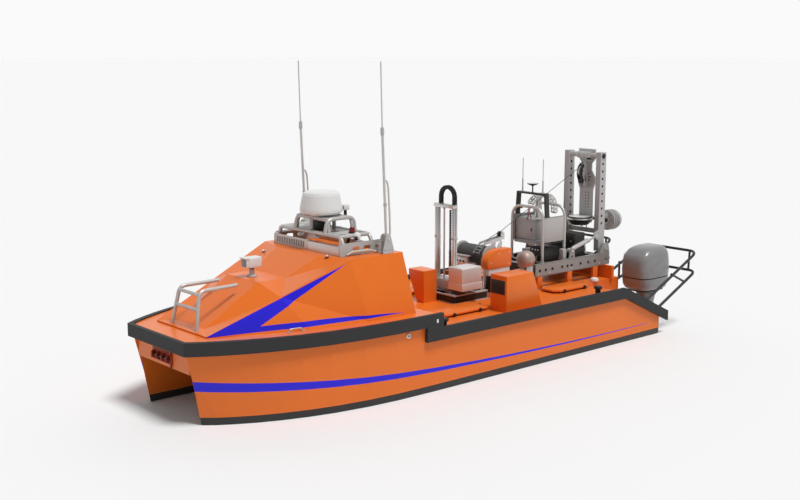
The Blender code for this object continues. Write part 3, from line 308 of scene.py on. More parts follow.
class Piece:
    """One visible piece: primitives gathered in one mesh, each with its own finish."""

    def __init__(self, name, body, slot, *finishes):
        self.name, self.body, self.slot, self.finishes = name, body, slot, finishes
        self.mesh = bmesh.new()

    def add(self, work, finish, place=None):
        """Take over the faces of another bmesh, put in its place."""
        for face in work.faces:
            face.material_index = finish
        holder = bpy.data.meshes.new("part")
        work.to_mesh(holder)
        work.free()
        if place:
            holder.transform(place)
        self.mesh.from_mesh(holder)
        bpy.data.meshes.remove(holder)

    def box(self, low, high, bevel=0.003, finish=0, turn=(0, "Z"), segments=2):
        """A box with rounded edges between two opposite corners, turned about its centre."""
        work = bmesh.new()
        bmesh.ops.create_cube(work, size=1.0)
        size = [abs(b - a) for a, b in zip(low, high)]
        bmesh.ops.scale(work, vec=size, verts=work.verts)
        bmesh.ops.bevel(work, geom=work.edges[:], offset=min(bevel, min(size) * 0.45),
                        segments=segments, profile=0.5, affect="EDGES")
        centre = (Vector(low) + Vector(high)) / 2
        self.add(work, finish, Matrix.Translation(centre) @ Matrix.Rotation(radians(turn[0]), 4,
                                                                           turn[1]))

    def block(self, foot, size, bevel=0.003, finish=0, **more):
        """A box from the middle of its foot and its size."""
        x, y, z = foot
        dx, dy, dz = size
        self.box((x - dx / 2, y - dy / 2, z), (x + dx / 2, y + dy / 2, z + dz), bevel, finish,
                 **more)

    def rod(self, start, end, radius, sides=16, finish=0):
        start, end = Vector(start), Vector(end)
        work = bmesh.new()
        bmesh.ops.create_cone(work, cap_ends=True, segments=sides, radius1=radius,
                              radius2=radius, depth=(end - start).length)
        turn = (end - start).to_track_quat("Z", "Y").to_matrix().to_4x4()
        self.add(work, finish, Matrix.Translation((start + end) / 2) @ turn)

    def pin(self, axis, across, low, high, radius, sides=16, finish=0):
        """A rod along one axis, with the other two coordinates given in order."""
        ends = [list(across), list(across)]
        for end, level in zip(ends, (low, high)):
            end.insert("XYZ".index(axis), level)
        self.rod(*ends, radius, sides, finish)

    def loft(self, rings, finish=0, closed=False):
        """A skin over rings of points, with caps or joined end to end."""
        work = bmesh.new()
        rows = [[work.verts.new(point) for point in ring] for ring in rings]
        for a, b in zip(rows, rows[1:] + rows[:closed]):
            for i in range(len(a)):
                work.faces.new((a[i - 1], a[i], b[i], b[i - 1]))
        if not closed:
            work.faces.new(rows[0])
            work.faces.new(rows[-1][::-1])
        bmesh.ops.recalc_face_normals(work, faces=work.faces)
        self.add(work, finish)

    def tube(self, points, radius, bend=0.0, sides=12, finish=0, closed=False):
        """A bent tube swept along a path with a frame that doesn't twist."""
        path = rounded(points, bend) if bend else [Vector(p) for p in points]
        last = len(path) - 1
        rings, up = [], None
        for i, point in enumerate(path):
            if closed:
                along = path[(i + 1) % len(path)] - path[i - 1]
            else:
                along = path[min(i + 1, last)] - path[max(i - 1, 0)]
            along.normalize()
            if up is None:
                up = along.orthogonal().normalized()
            up = (up - along * up.dot(along)).normalized()
            side = along.cross(up)
            rings.append([point + up * u + side * v for u, v in circle(sides, radius)])
        self.loft(rings, finish, closed)

    def turned(self, profile, place, axis="Z", steps=32, finish=0):
        """A turned solid from (radius, height) points that run from the top to the bottom."""
        work = bmesh.new()
        rows = [[work.verts.new((u, v, h)) for u, v in (circle(steps, r) if r else [(0, 0)])]
                for r, h in profile]
        for a, b in zip(rows, rows[1:]):
            for k in range(steps):
                here, there = (k % len(a), k % len(b)), ((k + 1) % len(a), (k + 1) % len(b))
                face = dict.fromkeys((a[here[0]], b[here[1]], b[there[1]], a[there[0]]))
                if len(face) > 2:
                    work.faces.new(list(face))
        bmesh.ops.recalc_face_normals(work, faces=work.faces)
        turn = {"Z": Matrix.Identity(4), "X": Matrix.Rotation(pi / 2, 4, "Y"),
                "Y": Matrix.Rotation(-pi / 2, 4, "X")}[axis]
        self.add(work, finish, Matrix.Translation(place) @ turn)

    def plate(self, outline, low, high, normal="Z", holes=(), bevel=0.0, finish=0):
        """A flat outline with holes, given thickness between two levels along one axis."""
        curve = bpy.data.curves.new("plate", "CURVE")
        curve.dimensions = "2D"
        curve.fill_mode = "BOTH"
        curve.extrude = abs(high - low) / 2 - bevel
        curve.bevel_depth = bevel
        curve.bevel_resolution = 1
        curve.offset = -bevel
        for loop in (outline, *holes):
            spline = curve.splines.new("POLY")
            spline.points.add(len(loop) - 1)
            for point, (u, v) in zip(spline.points, loop):
                point.co = (u, v, 0.0, 1.0)
            spline.use_cyclic_u = True
        obj = bpy.data.objects.new("plate", curve)
        bpy.context.scene.collection.objects.link(obj)
        bpy.context.view_layer.update()
        holder = bpy.data.meshes.new_from_object(
            obj.evaluated_get(bpy.context.evaluated_depsgraph_get()))
        bpy.data.objects.remove(obj, do_unlink=True)
        work = bmesh.new()
        work.from_mesh(holder)
        bpy.data.meshes.remove(holder)
        bmesh.ops.remove_doubles(work, verts=work.verts, dist=0.00001)
        bmesh.ops.recalc_face_normals(work, faces=work.faces)
        turn = {"Z": Matrix.Identity(4), "Y": Matrix.Rotation(pi / 2, 4, "X"),
                "X": Matrix(((0, 0, 1, 0), (1, 0, 0, 0), (0, 1, 0, 0), (0, 0, 0, 1)))}[normal]
        middle = Vector([(low + high) / 2 if normal == axis else 0 for axis in "XYZ"])
        self.add(work, finish, Matrix.Translation(middle) @ turn)

    def bolt(self, place, axis=(0, 0, 1), radius=0.007, height=0.005, finish=0):
        """A hexagon head on a washer."""
        foot, along = Vector(place), Vector(axis).normalized() * height
        self.rod(foot, foot + along * 0.3, radius * 1.5, 14, finish)
        self.rod(foot + along * 0.3, foot + along, radius, 6, finish)

    def done(self, *replaces, angle=35):
        mesh = bpy.data.meshes.new(self.name)
        bmesh.ops.translate(self.mesh, vec=(0, 0, LIFT), verts=self.mesh.verts)
        self.mesh.to_mesh(mesh)
        self.mesh.free()
        for finish in self.finishes:
            mesh.materials.append(M[finish])
        obj = bpy.data.objects.new(self.name, mesh)
        bpy.context.scene.collection.objects.link(obj)
        mesh.shade_smooth()
        mesh.set_sharp_from_angle(angle=radians(angle))
        if self.body:
            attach(obj, self.body)
        if replaces:
            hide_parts(*replaces)
        return obj


# ---------------------------------------------------------------- casing and roof gear
def roof_frame():
    """Coamings, two tiers of bent tube and plate, and the antenna brackets."""
    p = Piece("roof_frame", "vessel", "galvanised_steel", "galv", "grey", "black", "steel")
    tier_1, tier_2 = 1.662, 1.823
    for s in (1, -1):
        y = s * 0.6
        coaming = [(0.95, ROOF), (1.6, ROOF), (1.6, 1.57), (1.57, 1.6), (0.98, 1.6),
                   (0.95, 1.57)]
        p.plate(coaming, s * 0.614, s * 0.62, "Y",
                [slot_hole(x, 1.53, 0.1, 0.045) for x in (1.06, 1.22, 1.38)], finish=1)
        p.tube([(0.97, y, ROOF), (0.97, y, 1.58), (1.58, y, 1.58), (1.58, y, ROOF)], 0.014, 0.04)
        for x in (1.0, 1.3, 1.56):
            p.block((x, y, ROOF), (0.06, 0.09, 0.008), finish=1)
            p.bolt((x, s * 0.64, ROOF + 0.008))
    p.plate(square(-0.6, ROOF, 0.02, 1.58), 1.59, 1.597, "X",
            [slot_hole(-0.56 + 0.034 * i, 1.52, 0.075, 0.017, 90) for i in range(16)])
    p.box((1.58, -0.59, ROOF + 0.005), (1.587, 0.01, 1.57), 0.001, finish=2)
    p.plate(square(0.02, ROOF, 0.6, 1.565), 1.588, 1.597, "X", finish=3)
    for y in (-0.6, 0.02, 0.6):
        p.box((1.578, y - 0.015, ROOF), (1.599, y + 0.015, 1.585), 0.004)
    p.box((0.97, -0.6, ROOF), (1.0, 0.6, 1.53), finish=1)
    p.plate(square(1.13, -0.545, 1.55, 0.545), 1.652, 1.668, "Z",
            [slot_hole(x, y, 0.12, 0.05) for x in (1.24, 1.44) for y in (-0.44, 0.44)]
            + [round_hole(1.34, y, 0.05, 16) for y in (-0.2, 0.0, 0.2)], finish=1)
    for x in (1.14, 1.54):
        p.tube(portal(x, 0.6, 1.58, 0.555, tier_1), 0.022, 0.07)
    for y in (-0.545, 0.545):
        p.tube([(1.14, y, tier_1), (1.54, y, tier_1)], 0.021)
        p.tube([(1.545, y * 1.02, 1.66), (1.55, y * 1.07, 1.56), (1.55, y * 1.07, ROOF)], 0.021,
               0.05)
    for y in (-0.28, 0.28):
        p.tube([(1.545, y, 1.66), (1.51, y, tier_2), (1.14, y, tier_2), (1.12, y, 1.66)], 0.022,
               0.09)
    for x in (1.17, 1.5):
        p.tube(portal(x, 0.3, 1.665, 0.275, 1.815), 0.02, 0.06)
    p.plate(square(1.2, -0.28, 1.52, 0.28), 1.812, 1.832, "Z",
            [slot_hole(1.36, y, 0.16, 0.03) for y in (-0.2, 0.2)], finish=1)
    for x in (1.2, 1.36, 1.52):
        p.pin("Z", (x, 0), 1.668, 1.812, 0.022, 14, finish=1)
    p.box((1.3, -0.07, 1.668), (1.45, 0.07, 1.78), 0.008, finish=2)
    bracket = [(0.985, ROOF), (1.135, ROOF), (1.135, 1.51), (1.09, 1.66), (1.03, 1.66),
               (0.985, 1.51)]
    for s in (1, -1):
        for side in (-1, 1):
            y = s * 0.748 + side * 0.042
            p.plate(bracket, y - 0.006, y + 0.006, "Y",
                    [round_hole(1.0 + 0.03 * i, 1.5, 0.006, 8) for i in range(5)], finish=1)
            p.bolt((1.06, y + side * 0.006, 1.62), (0, side, 0), 0.012, 0.01)
        p.box((1.0, s * 0.61, ROOF), (1.12, s * 0.788, ROOF + 0.018), finish=1)
        for x in (1.02, 1.1):
            p.bolt((x, s * 0.66, ROOF + 0.018))
    p.done("sensor_platform")


def roof_lights():
    """The red light, the small cameras on the platform and the conduits."""
    p = Piece("roof_lights", "vessel", "white_plastic", "white", "red", "black", "lens", "cream",
              "grey")
    p.turned([(0, 0.07), (0.022, 0.068), (0.032, 0.055), (0.034, 0.012), (0.038, 0), (0, 0)],
             (1.27, 0.42, 1.668), steps=24, finish=1)
    p.pin("Z", (1.27, 0.42), 1.667, 1.682, 0.042, 20, finish=2)
    p.box((1.27, 0.5, 1.6), (1.35, 0.6, 1.612), finish=5)
    p.turned([(0, 0.045), (0.026, 0.038), (0.042, 0.018), (0.045, 0), (0.042, -0.022),
              (0.028, -0.036), (0, -0.04)], (1.31, 0.55, 1.652), steps=24)
    p.rod((1.335, 0.575, 1.64), (1.352, 0.592, 1.634), 0.02, 18, finish=3)
    p.pin("Z", (1.31, 0.55), 1.605, 1.63, 0.028, 18, finish=2)
    p.tube([(1.43, 0.52, 1.47), (1.41, 0.5, 1.56), (1.34, 0.46, 1.64)], 0.018, 0.05, finish=2)
    p.box((1.09, 0.09, 1.885), (1.17, 0.15, 1.945), 0.008)
    p.pin("Z", (1.13, 0.12), 1.8, 1.89, 0.018, 14, finish=2)
    p.pin("X", (0.12, 1.915), 1.17, 1.178, 0.02, 18, finish=3)
    p.tube([(1.52, 0.635, 1.475), (1.45, 0.645, 1.505), (1.2, 0.648, 1.5), (1.13, 0.66, 1.475)],
           0.012, 0.03, finish=4)
    p.done()


def roof_fittings():
    """Two ringed fittings on the casing and a dark box at its aft end."""
    p = Piece("roof_fittings", "vessel", "galvanised_steel", "steel", "tow_red", "black")
    for x, y, z in ((1.7, 0.52, 1.462), (1.8, -0.55, 1.39)):
        p.tube([(u, v, z + 0.012) for u, v in circle(12, 0.022, (x, y))], 0.005, closed=True,
               sides=8)
        p.pin("Z", (x, y), z - 0.006, z + 0.012, 0.016, 14, finish=1)
    p.box((0.846, 0.56, 1.405), (0.868, 0.72, 1.448), 0.004, finish=2)
    p.done()


def casing_details():
    """A handle, a side fitting and a step light on each side, and the towing gear."""
    p = Piece("deck_fittings", "vessel", "galvanised_steel", "steel", "white", "lens", "tow_red",
              "black")
    for s in (1, -1):
        p.tube([(2.28, s * 0.868, 0.802), (2.3, s * 0.862, 0.835), (2.43, s * 0.842, 0.835),
                (2.45, s * 0.836, 0.802)], 0.007, 0.02)
        for x, y in ((2.285, 0.87), (2.445, 0.84)):
            p.block((x, s * y, 0.8002), (0.05, 0.04, 0.0068))
        p.pin("Y", (1.143, 0.622), s * 1.213, s * 1.231, 0.026, 20, finish=1)
        p.pin("Y", (1.143, 0.622), s * 1.231, s * 1.2325, 0.013, 16, finish=2)
        p.box((0.742, s * 1.266, 0.715), (0.768, s * 1.27, 0.757), 0.002, finish=1)
    x = 3.44
    p.box((x, -0.2, 0.5), (x + 0.012, 0.2, 0.62), finish=3)
    for y in (-0.15, -0.05, 0.05, 0.15):
        p.plate([(x, 0.505), (x + 0.055, 0.53), (x + 0.055, 0.59), (x, 0.612)], y - 0.006,
                y + 0.006, "Y", [round_hole(x + 0.032, 0.56, 0.013)], finish=3)
    p.pin("Y", (x + 0.032, 0.56), -0.17, 0.17, 0.012, 14, finish=4)
    p.box((x, 0.155, 0.47), (x + 0.02, 0.185, 0.655), finish=3)
    p.done()


def bow_roll_bar():
    """Two bent tubes from the foredeck back to the casing, joined by two bars."""
    p = Piece("bow_roll_bar", "vessel", "galvanised_steel", "galv")
    for s in (-1, 1):
        p.tube([(3.182, s * 0.25, 0.8085), (3.105, s * 0.195, 1.22), (2.64, s * 0.18, 1.225)],
               0.0208, 0.07, 18)
    p.pin("Y", (3.112, 1.185), -0.2, 0.2, 0.0188, 18)
    p.pin("Y", (3.14, 1.03), -0.222, 0.222, 0.0188, 18)
    p.done("bow_rail")


def camera_case():
    p = Piece("camera_case", "camera_head", "white_plastic", "white", "lens", "black", "steel",
              "cowl")
    p.box((2.232, -0.063, 1.352), (2.4, 0.063, 1.468), 0.016, segments=4)
    p.box((2.395, -0.055, 1.36), (2.43, 0.055, 1.462), 0.01, segments=3)
    p.box((2.395, -0.063, 1.455), (2.448, 0.063, 1.469), 0.005)
    p.box((2.428, -0.048, 1.368), (2.4345, 0.048, 1.448), 0.004, finish=4)
    p.pin("Z", (2.33, 0), 1.335, 1.365, 0.028, 24, finish=2)
    p.done("camera_head")


def whips():
    """Tapering antennas with a brace behind each."""
    for name, s in SIDES:
        p = Piece("whip_" + name, "antenna_" + name, "white_plastic", "galv", "grey", "steel")
        x, y, z = 1.06, s * 0.748, 1.62
        p.box((x - 0.028, y - 0.034, z - 0.028), (x + 0.028, y + 0.034, z + 0.058), 0.005,
              finish=1)
        p.rod((x - 0.005, y, z + 0.03), (x + 0.046, y, 2.8), 0.0145, 16)
        p.rod((x + 0.046, y, 2.79), (x + 0.066, y, 3.549), 0.0075, 12)
        p.turned(mirrored([(0, 0.045), (0.016, 0.045), (0.0205, 0.03)]), (x + 0.046, y, 2.8),
                 steps=16, finish=1)
        p.tube([(x - 0.062, y, z + 0.04), (x - 0.055, y, 1.9), (x - 0.036, y, 2.2),
                (x - 0.012, y, 2.262), (x + 0.02, y, 2.265)], 0.0105, 0.04, 12)
        p.rod((x + 0.008, y, 1.98), (x + 0.0095, y, 2.02), 0.0195, 14, finish=1)
        p.done("antenna_" + name)


# ---------------------------------------------------------------- working deck
def hoist_mast():
    """Two channels with a lead screw between them, on a framed base."""
    hx, top, z0, z1 = HOIST_X, HOIST_TOP, DECK, 0.7
    p = Piece("hoist_mast", "vessel", "galvanised_steel", "aluminium", "steel", "black", "grey")
    hole = square(hx - 0.13, -0.13, hx + 0.13, 0.13)
    for low, high in ((z0, z0 + 0.012), (z1 - 0.014, z1)):
        p.plate(square(hx - 0.42, -0.33, hx + 0.16, 0.33), low, high, "Z", [hole], finish=3)
    for y in (-0.31, 0.31):
        p.box((hx - 0.415, y - 0.012, z0 + 0.012), (hx + 0.155, y + 0.012, z1 - 0.014), finish=2)
    for x in (hx - 0.4, hx - 0.15, hx + 0.145):
        p.box((x - 0.012, -0.298, z0 + 0.012), (x + 0.012, 0.298, z1 - 0.014), finish=2)
    for x in (hx - 0.36, hx + 0.13):
        for y in (-0.29, 0.29):
            p.bolt((x, y, z1), radius=0.01, height=0.01, finish=1)
    for s in (-1, 1):
        y = s * 0.15
        for d in (-0.019, 0.019):
            p.block((hx + d, y, z1), (0.022, 0.044, 1.09), 0.002)
        p.block((hx, y, z1), (0.02, 0.024, 1.09), 0.001, finish=1)
        p.block((hx, y, z1), (0.1, 0.064, 0.012), finish=1)
        p.box((hx - 0.034, s * 0.1288, 1.36), (hx + 0.034, s * 0.176, 1.385), 0.002, finish=3)
    p.box((hx - 0.032, -0.175, 1.75), (hx + 0.05, 0.175, top), 0.004)
    p.box((hx + 0.012, -0.135, 0.695), (hx + 0.048, 0.135, 0.715), 0.002, finish=1)
    p.pin("Z", (LEAD_X, 0), z1, 1.76, 0.0105, 14, finish=1)
    p.tube([(LEAD_X + 0.011 * cos(i * 0.9), 0.011 * sin(i * 0.9), 0.87 + 0.88 * i / 1000)
            for i in range(1001)], 0.0016, sides=4, finish=1)
    p.pin("Z", (LEAD_X, 0), 1.742, 1.752, 0.022, finish=2)
    p.done("hoist_frame")


def link(p, y, z, half_y, down, up, bevel, core=0.0, turn=(0, "X")):
    """The two side plates of a chain link, and its core where it has one."""
    for x in (HOIST_X - 0.019, HOIST_X + 0.019):
        p.box((x - 0.003, y - half_y, z - down), (x + 0.003, y + half_y, z + up), bevel, turn=turn)
    if core:
        p.box((HOIST_X - 0.017, y - 0.022, z - core), (HOIST_X + 0.017, y + 0.022, z + core),
              turn=turn)


def cable_chain():
    """The drag chain's loop over the mast's head."""
    hx, top = HOIST_X, HOIST_TOP
    p = Piece("cable_chain", "vessel", "black_rubber", "black", "steel")
    mid, centre, radius, links = 0.03, top + 0.0903, 0.12, 12
    for i in range(links):
        a = pi * (i + 0.5) / links
        y, z = mid + radius * cos(a), centre + radius * sin(a)
        link(p, y, z, 0.0235, 0.0165, 0.0165, 0.008, 0.009, (180 / pi * a, "X"))
        p.pin("X", (y, z), hx - 0.0218, hx + 0.0218, 0.006, 10, finish=1)
    for y in (mid - radius, mid + radius):
        for z in (top + 0.014 + 0.03 * k for k in range(3)):
            link(p, y, z, 0.0235, 0.0135, 0.0165, 0.006, 0.008)
            p.pin("X", (y, z), hx - 0.0218, hx + 0.0218, 0.005, 10, finish=1)
    p.done("drag_chain")


def chain_run():
    """The chain's hanging run."""
    hx = HOIST_X
    p = Piece("chain_run", "vessel", "black_rubber", "black", "steel")
    for z in (0.875 + 0.03 * k for k in range(29)):
        link(p, 0.096, z, 0.016, 0.013, 0.016, 0.004)
        p.pin("X", (0.096, z), hx - 0.0205, hx + 0.0205, 0.005, 8, finish=1)
    run = p.done()
    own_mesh(run)


def hoist_carriage():
    """The carriage with its nut, and the pole that it lowers through the moon pool."""
    hx = HOIST_X
    p = Piece("hoist_carriage", "sonar_pole", "grey_paint", "grey", "steel", "black")
    px, front = hx - 0.03, hx + 0.06
    p.plate(square(px - 0.05, -0.1275, front, 0.1275), 0.73, 0.85, "Z",
            [round_hole(LEAD_X, 0, 0.0135, 20)], bevel=0.004)
    p.pin("Z", (px, 0), -0.42, 0.8495, 0.02, 24, finish=1)
    p.turned([(0, -0.29), (0.05, -0.292), (0.086, -0.31), (0.09, -0.33), (0.09, -0.41),
              (0.08, -0.43), (0, -0.43)], (px, 0, 0), steps=36, finish=2)
    for y in (-0.1, 0.1):
        for z in (0.75, 0.83):
            p.bolt((front, y, z), (1, 0, 0), 0.008, 0.008, finish=1)
    p.turned([(0.0135, 0.0085), (0.026, 0.0085), (0.026, 0), (0.0135, 0)], (LEAD_X, 0, 0.85),
             steps=20, finish=1)
    p.done("sonar_pole")


def hoist_boxes():
    """The stainless cabinet beside the mast, and the drive at its foot."""
    p = Piece("hoist_locker", "vessel", "grey_paint", "brushed", "dark")
    y, base = 0.1725, 0.7005
    p.box((-0.767, y, 0.7605), (-0.434, 0.424, 0.851), segments=3)
    p.box((-0.767, y, 0.8545), (-0.434, 0.424, 1.0445), 0.014, segments=4)
    p.box((-0.764, y + 0.004, 0.848), (-0.437, 0.421, 0.858), 0.001)
    p.box((-0.6, 0.2, base), (-0.46, 0.32, 0.761), 0.006, finish=1)
    p.done("hoist_cabinet")

    p = Piece("hoist_drive", "vessel", "grey_paint", "dark", "steel", "white", "tow_red")
    p.box((-0.79, -0.22, base), (-0.66, -0.06, 0.86), 0.022, finish=2, segments=4)
    p.pin("Z", (-0.725, -0.14), 0.86, 0.915, 0.042, 24, finish=3)
    p.pin("Y", (-0.5, 0.735), -0.29, -0.2, 0.032, 20)
    p.pin("Y", (-0.5, 0.735), -0.3, -0.29, 0.02, 16, finish=1)
    p.box((-0.9, 0.06, base), (-0.8, 0.28, 0.79), 0.008)
    p.tube([(-0.8, 0.2, 0.76), (-0.76, 0.24, 0.745), (-0.7, 0.28, 0.72)], 0.01, 0.02, 10)
    p.done()


def winch_mount():
    x, mid, z = WINCH
    front = WINCH_FRONT
    p = Piece("winch_mount", "vessel", "grey_paint", "galv", "steel", "black", "grey")
    p.box((x - 0.3, mid - 0.34, DECK), (front, mid + 0.34, 0.61))
    cheek = ([(x - 0.28, 0.62), (-1.0, 0.62), (-1.02, 0.95)]
             + arc((x, 1.085), 0.105, 0, 180, 14) + [(x - 0.24, 0.95)])
    for s in (-1, 1):
        y = mid + s * 0.31
        p.box((x - 0.3, y - 0.03, 0.61), (front, y + 0.03, 0.66))
        y = mid + s * 0.29
        p.plate(cheek, y - 0.014, y + 0.014, "Y",
                [slot_hole(x - 0.13, 0.78, 0.1, 0.05), slot_hole(x, 0.9, 0.1, 0.05),
                 round_hole(x, z, 0.032, 20)])
        for u, v in circle(6, 0.06, (x, z)):
            p.bolt((u, y + s * 0.014, v), (0, s, 0), height=0.006, finish=1)
    for dx, bar_z, r in ((-0.16, 0.95, 0.018), (0.1, 0.8, 0.014), (-0.22, 0.7, 0.014)):
        p.pin("Y", (x + dx, bar_z), mid - 0.28, mid + 0.28, r, finish=1)
    p.done("winch_frame")


def winch_reel():
    """Flanges, drum and windings."""
    x, mid, z = WINCH
    p = Piece("winch_reel", "winch_drum", "dark_paint", "grey", "cable", "steel")
    for y in (mid - 0.255, mid + 0.255):
        p.turned(mirrored([(0.03, 0.01), (0.135, 0.01), (0.1445, 0.006)]), (x, y, z), "Y", 48)
        for spot in circle(5, 0.1, (x, z)):
            p.pin("Y", spot, y - 0.0105, y + 0.0105, 0.016, 12, finish=2)
    p.pin("Y", (x, z), mid - 0.3015, mid + 0.3015, 0.0298, 24, finish=2)
    p.pin("Y", (x, z), mid - 0.248, mid + 0.248, 0.104, 40, finish=1)
    turns = 24
    for k in range(turns):
        y = mid - 0.2345 + 0.469 * k / (turns - 1)
        p.tube([(u, y, v) for u, v in circle(36, 0.111, (x, z))], 0.0105, sides=8, closed=True,
               finish=1)
    p.done("winch_drum")


def level_wind():
    """Guide bars, the cable's ramp and pulley, and the instrument panel."""
    mid, front, lx = WINCH[1], WINCH_FRONT, LEVEL_X
    p = Piece("level_wind", "vessel", "grey_paint", "aluminium", "steel", "black", "cable")
    p.pin("Y", (lx, 1.0), mid - 0.28, mid + 0.28, 0.012, finish=1)
    p.pin("Y", (lx + 0.005, 1.04), mid - 0.28, mid + 0.28, 0.01, 14, finish=1)
    ramp = [(front, 1.125), (front, 1.15), (-1.1, 1.262), (lx - 0.1, 1.315),
            (lx - 0.12, 1.29), (lx - 0.03, 1.255), (-1.1, 1.238)]
    guide = [(lx - 0.03, 0.985), (lx + 0.03, 0.985), (lx + 0.02, 1.2), (lx - 0.05, 1.27),
             (lx - 0.07, 1.24)]
    fork = [(lx - 0.13, 1.27), (lx - 0.06, 1.27), (lx - 0.07, 1.355), (lx - 0.1, 1.375),
            (lx - 0.13, 1.355)]
    for outline, from_mid, holes in ((ramp, (0.1, 0.2), []),
                                     (guide, (0.093, 0.207), [round_hole(lx, 1.03, 0.014)]),
                                     (fork, (0.115, 0.185),
                                      [round_hole(lx - 0.1, 1.345, 0.007)])):
        for y in (mid + d for d in from_mid):
            p.plate(outline, y - 0.003, y + 0.003, "Y", holes)
    for k in range(14):
        t = k / 13
        u = -1.0 - 0.42 * t
        v = 1.148 + 0.113 * min(1.0, t * 3.6) + 0.045 * max(0.0, t - 0.28) / 0.72
        p.box((u - 0.008, mid + 0.1, v - 0.008), (u + 0.008, mid + 0.2, v - 0.002), 0.001)
    p.turned(mirrored([(0, 0.02), (0.036, 0.02), (0.026, 0.004)]),
             (lx - 0.1, mid + 0.15, 1.335), "Y", 28, finish=2)
    p.box((-0.995, mid - 0.27, 0.95), (-0.955, mid + 0.03, 1.065), 0.006)
    p.box((-0.957, mid - 0.26, 0.96), (-0.952, mid + 0.02, 1.055), 0.001)
    for k in range(4):
        p.pin("X", (mid - 0.22 + 0.06 * k, 1.01), -0.953, -0.944, 0.014, finish=2)
    p.box((-1.0, mid - 0.29, 1.072), (-0.95, mid + 0.05, 1.092), 0.004, finish=1)
    p.box((-1.0, mid - 0.31, 0.9), (-0.94, mid - 0.28, 1.12), 0.006)
    for y in (mid - 0.2, mid - 0.04):
        p.pin("Z", (front, y), 0.655, 0.955, 0.012, 14, finish=1)
    p.done()


def winch_cover():
    p = Piece("winch_motor_cover", "vessel", "orange_gelcoat", "orange", "black", "steel", "white")
    low = WINCH[1] + 0.3055
    p.plate([(-0.935, 0.966), (-0.912, 1.01), (-0.912, 1.08), (-0.94, 1.125), (-0.99, 1.17),
             (-1.04, 1.193), (-1.1, 1.2045), (-1.32, 1.2045), (-1.345, 1.19), (-1.3495, 1.17),
             (-1.3495, 0.985), (-1.335, 0.966)], low, 0.3795, "Y", bevel=0.014)
    for u, v in ((-0.98, 1.04), (-1.12, 1.15), (-1.3, 1.15), (-1.3, 1.01)):
        p.bolt((u, 0.379, v), (0, 1, 0), 0.006, 0.003, finish=2)
    p.box((-1.33, low, 0.88), (-0.95, 0.365, 0.967), 0.008, finish=3)
    p.box((-1.31, low, 0.661), (-1.01, 0.33, 0.881), 0.006, finish=1)
    p.tube([(-0.98, 0.3, 0.93), (-0.93, 0.3, 0.9), (-0.92, 0.29, 0.78), (-0.95, 0.26, 0.66)],
           0.01, 0.04, 10, finish=3)
    p.done("winch_cover")


def haul_cable():
    """The taut wire from the level-wind's pulley to the sheave."""
    x, mid, lx = *WINCH[:2], LEVEL_X
    p = Piece("haul_cable", None, "dark_paint", "cable")
    low, high = Vector((lx - 0.1, mid + 0.15, 1.371)), Vector((-3.075, 0, 2.087))
    p.tube([low + (high - low) * (k / 24) for k in range(25)], 0.0042, sides=8)
    p.tube([(x + 0.02, mid + 0.13, 1.212), (x - 0.1, mid + 0.15, 1.315), low], 0.0042, 0.03, 8)
    cable = p.done()
    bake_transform(cable)


def deck_box():
    p = Piece("deck_box_shell", "vessel", "orange_gelcoat", "orange", "black", "steel", "dark")
    p.plate([(-1.189, DECK), (-0.55, DECK), (-0.55, 1.028), (-1.016, 1.028)], 0.7865, 1.0595, "Y",
            bevel=0.012)
    p.box((-0.5515, 0.8, 0.8), (-0.546, 1.03, 0.972), finish=3)
    for z in (0.818 + 0.024 * k for k in range(6)):
        p.box((-0.549, 0.808, z), (-0.538, 1.022, z + 0.006), 0.001, finish=1, turn=(-28, "Y"))
    for x in (-0.93, -0.65):
        p.box((x - 0.02, 0.78, 0.975), (x + 0.02, 0.787, 1.002), 0.002, finish=2)
    for x in (-1.12, -0.62):
        p.box((x - 0.03, 1.0585, DECK), (x + 0.03, 1.085, DECK + 0.006), 0.002, finish=2)
        p.bolt((x, 1.074, DECK + 0.006), radius=0.006, finish=2)
    p.done("deck_box")


def deck_locker():
    p = Piece("deck_locker_shell", "vessel", "orange_gelcoat", "orange", "steel")
    p.plate([(-0.12, DECK), (0.012, DECK), (0.012, 0.99), (-0.273, 0.99), (-0.273, 0.93)], -0.3945,
            -0.1735, "X", bevel=0.01)
    for z in (0.66, 0.9):
        p.pin("Z", (-0.37, 0.0125), z - 0.02, z + 0.02, 0.005, 10)
    p.done("deck_locker")


def hatches():
    """Lids with cut corners, rims and black turn-latches round their edges."""
    z0 = 0.5903
    for end, x0, x1, y0, y1, c in (("forward", -0.54, 0.22, 0.44, 0.8, 0.04),
                                   ("aft", -2.5, -1.8, 0.43, 0.75, 0.07)):
        for side, s in SIDES:
            name = "%s_%s" % (end, side)
            p = Piece("lid_" + name, "hatch_" + name, "orange_gelcoat", "orange", "black", "steel")

            def ring(inset):
                a, b, d, e = x0 + inset, x1 - inset, y0 + inset, y1 - inset
                loop = [(a + c, d), (b - c, d), (b, d + c), (b, e - c), (b - c, e), (a + c, e),
                        (a, e - c), (a, d + c)]
                return [(u, s * v) for u, v in loop[::s]]

            # A black plate inset under the lid's overhang: painted shadow in the gap below the
            # lid's edge
            p.plate(ring(0.028), z0 + 0.0005, z0 + 0.02, finish=1)
            p.plate(ring(0.0), z0 + 0.018, z0 + 0.045, bevel=0.007)
            p.plate(ring(0.045), z0 + 0.038, z0 + 0.0475, bevel=0.003)
            for u, v in ((x0 + (x1 - x0) * 0.22, y1), (x0 + (x1 - x0) * 0.78, y1),
                         (x0, (y0 + y1) / 2)):
                p.block((u, s * v, z0 + 0.003), (0.048, 0.024, 0.037), 0.005, finish=1)
                p.pin("Z", (u, s * v), z0 + 0.038, z0 + 0.048, 0.012, 14, finish=1)
            p.done("hatch_" + name)


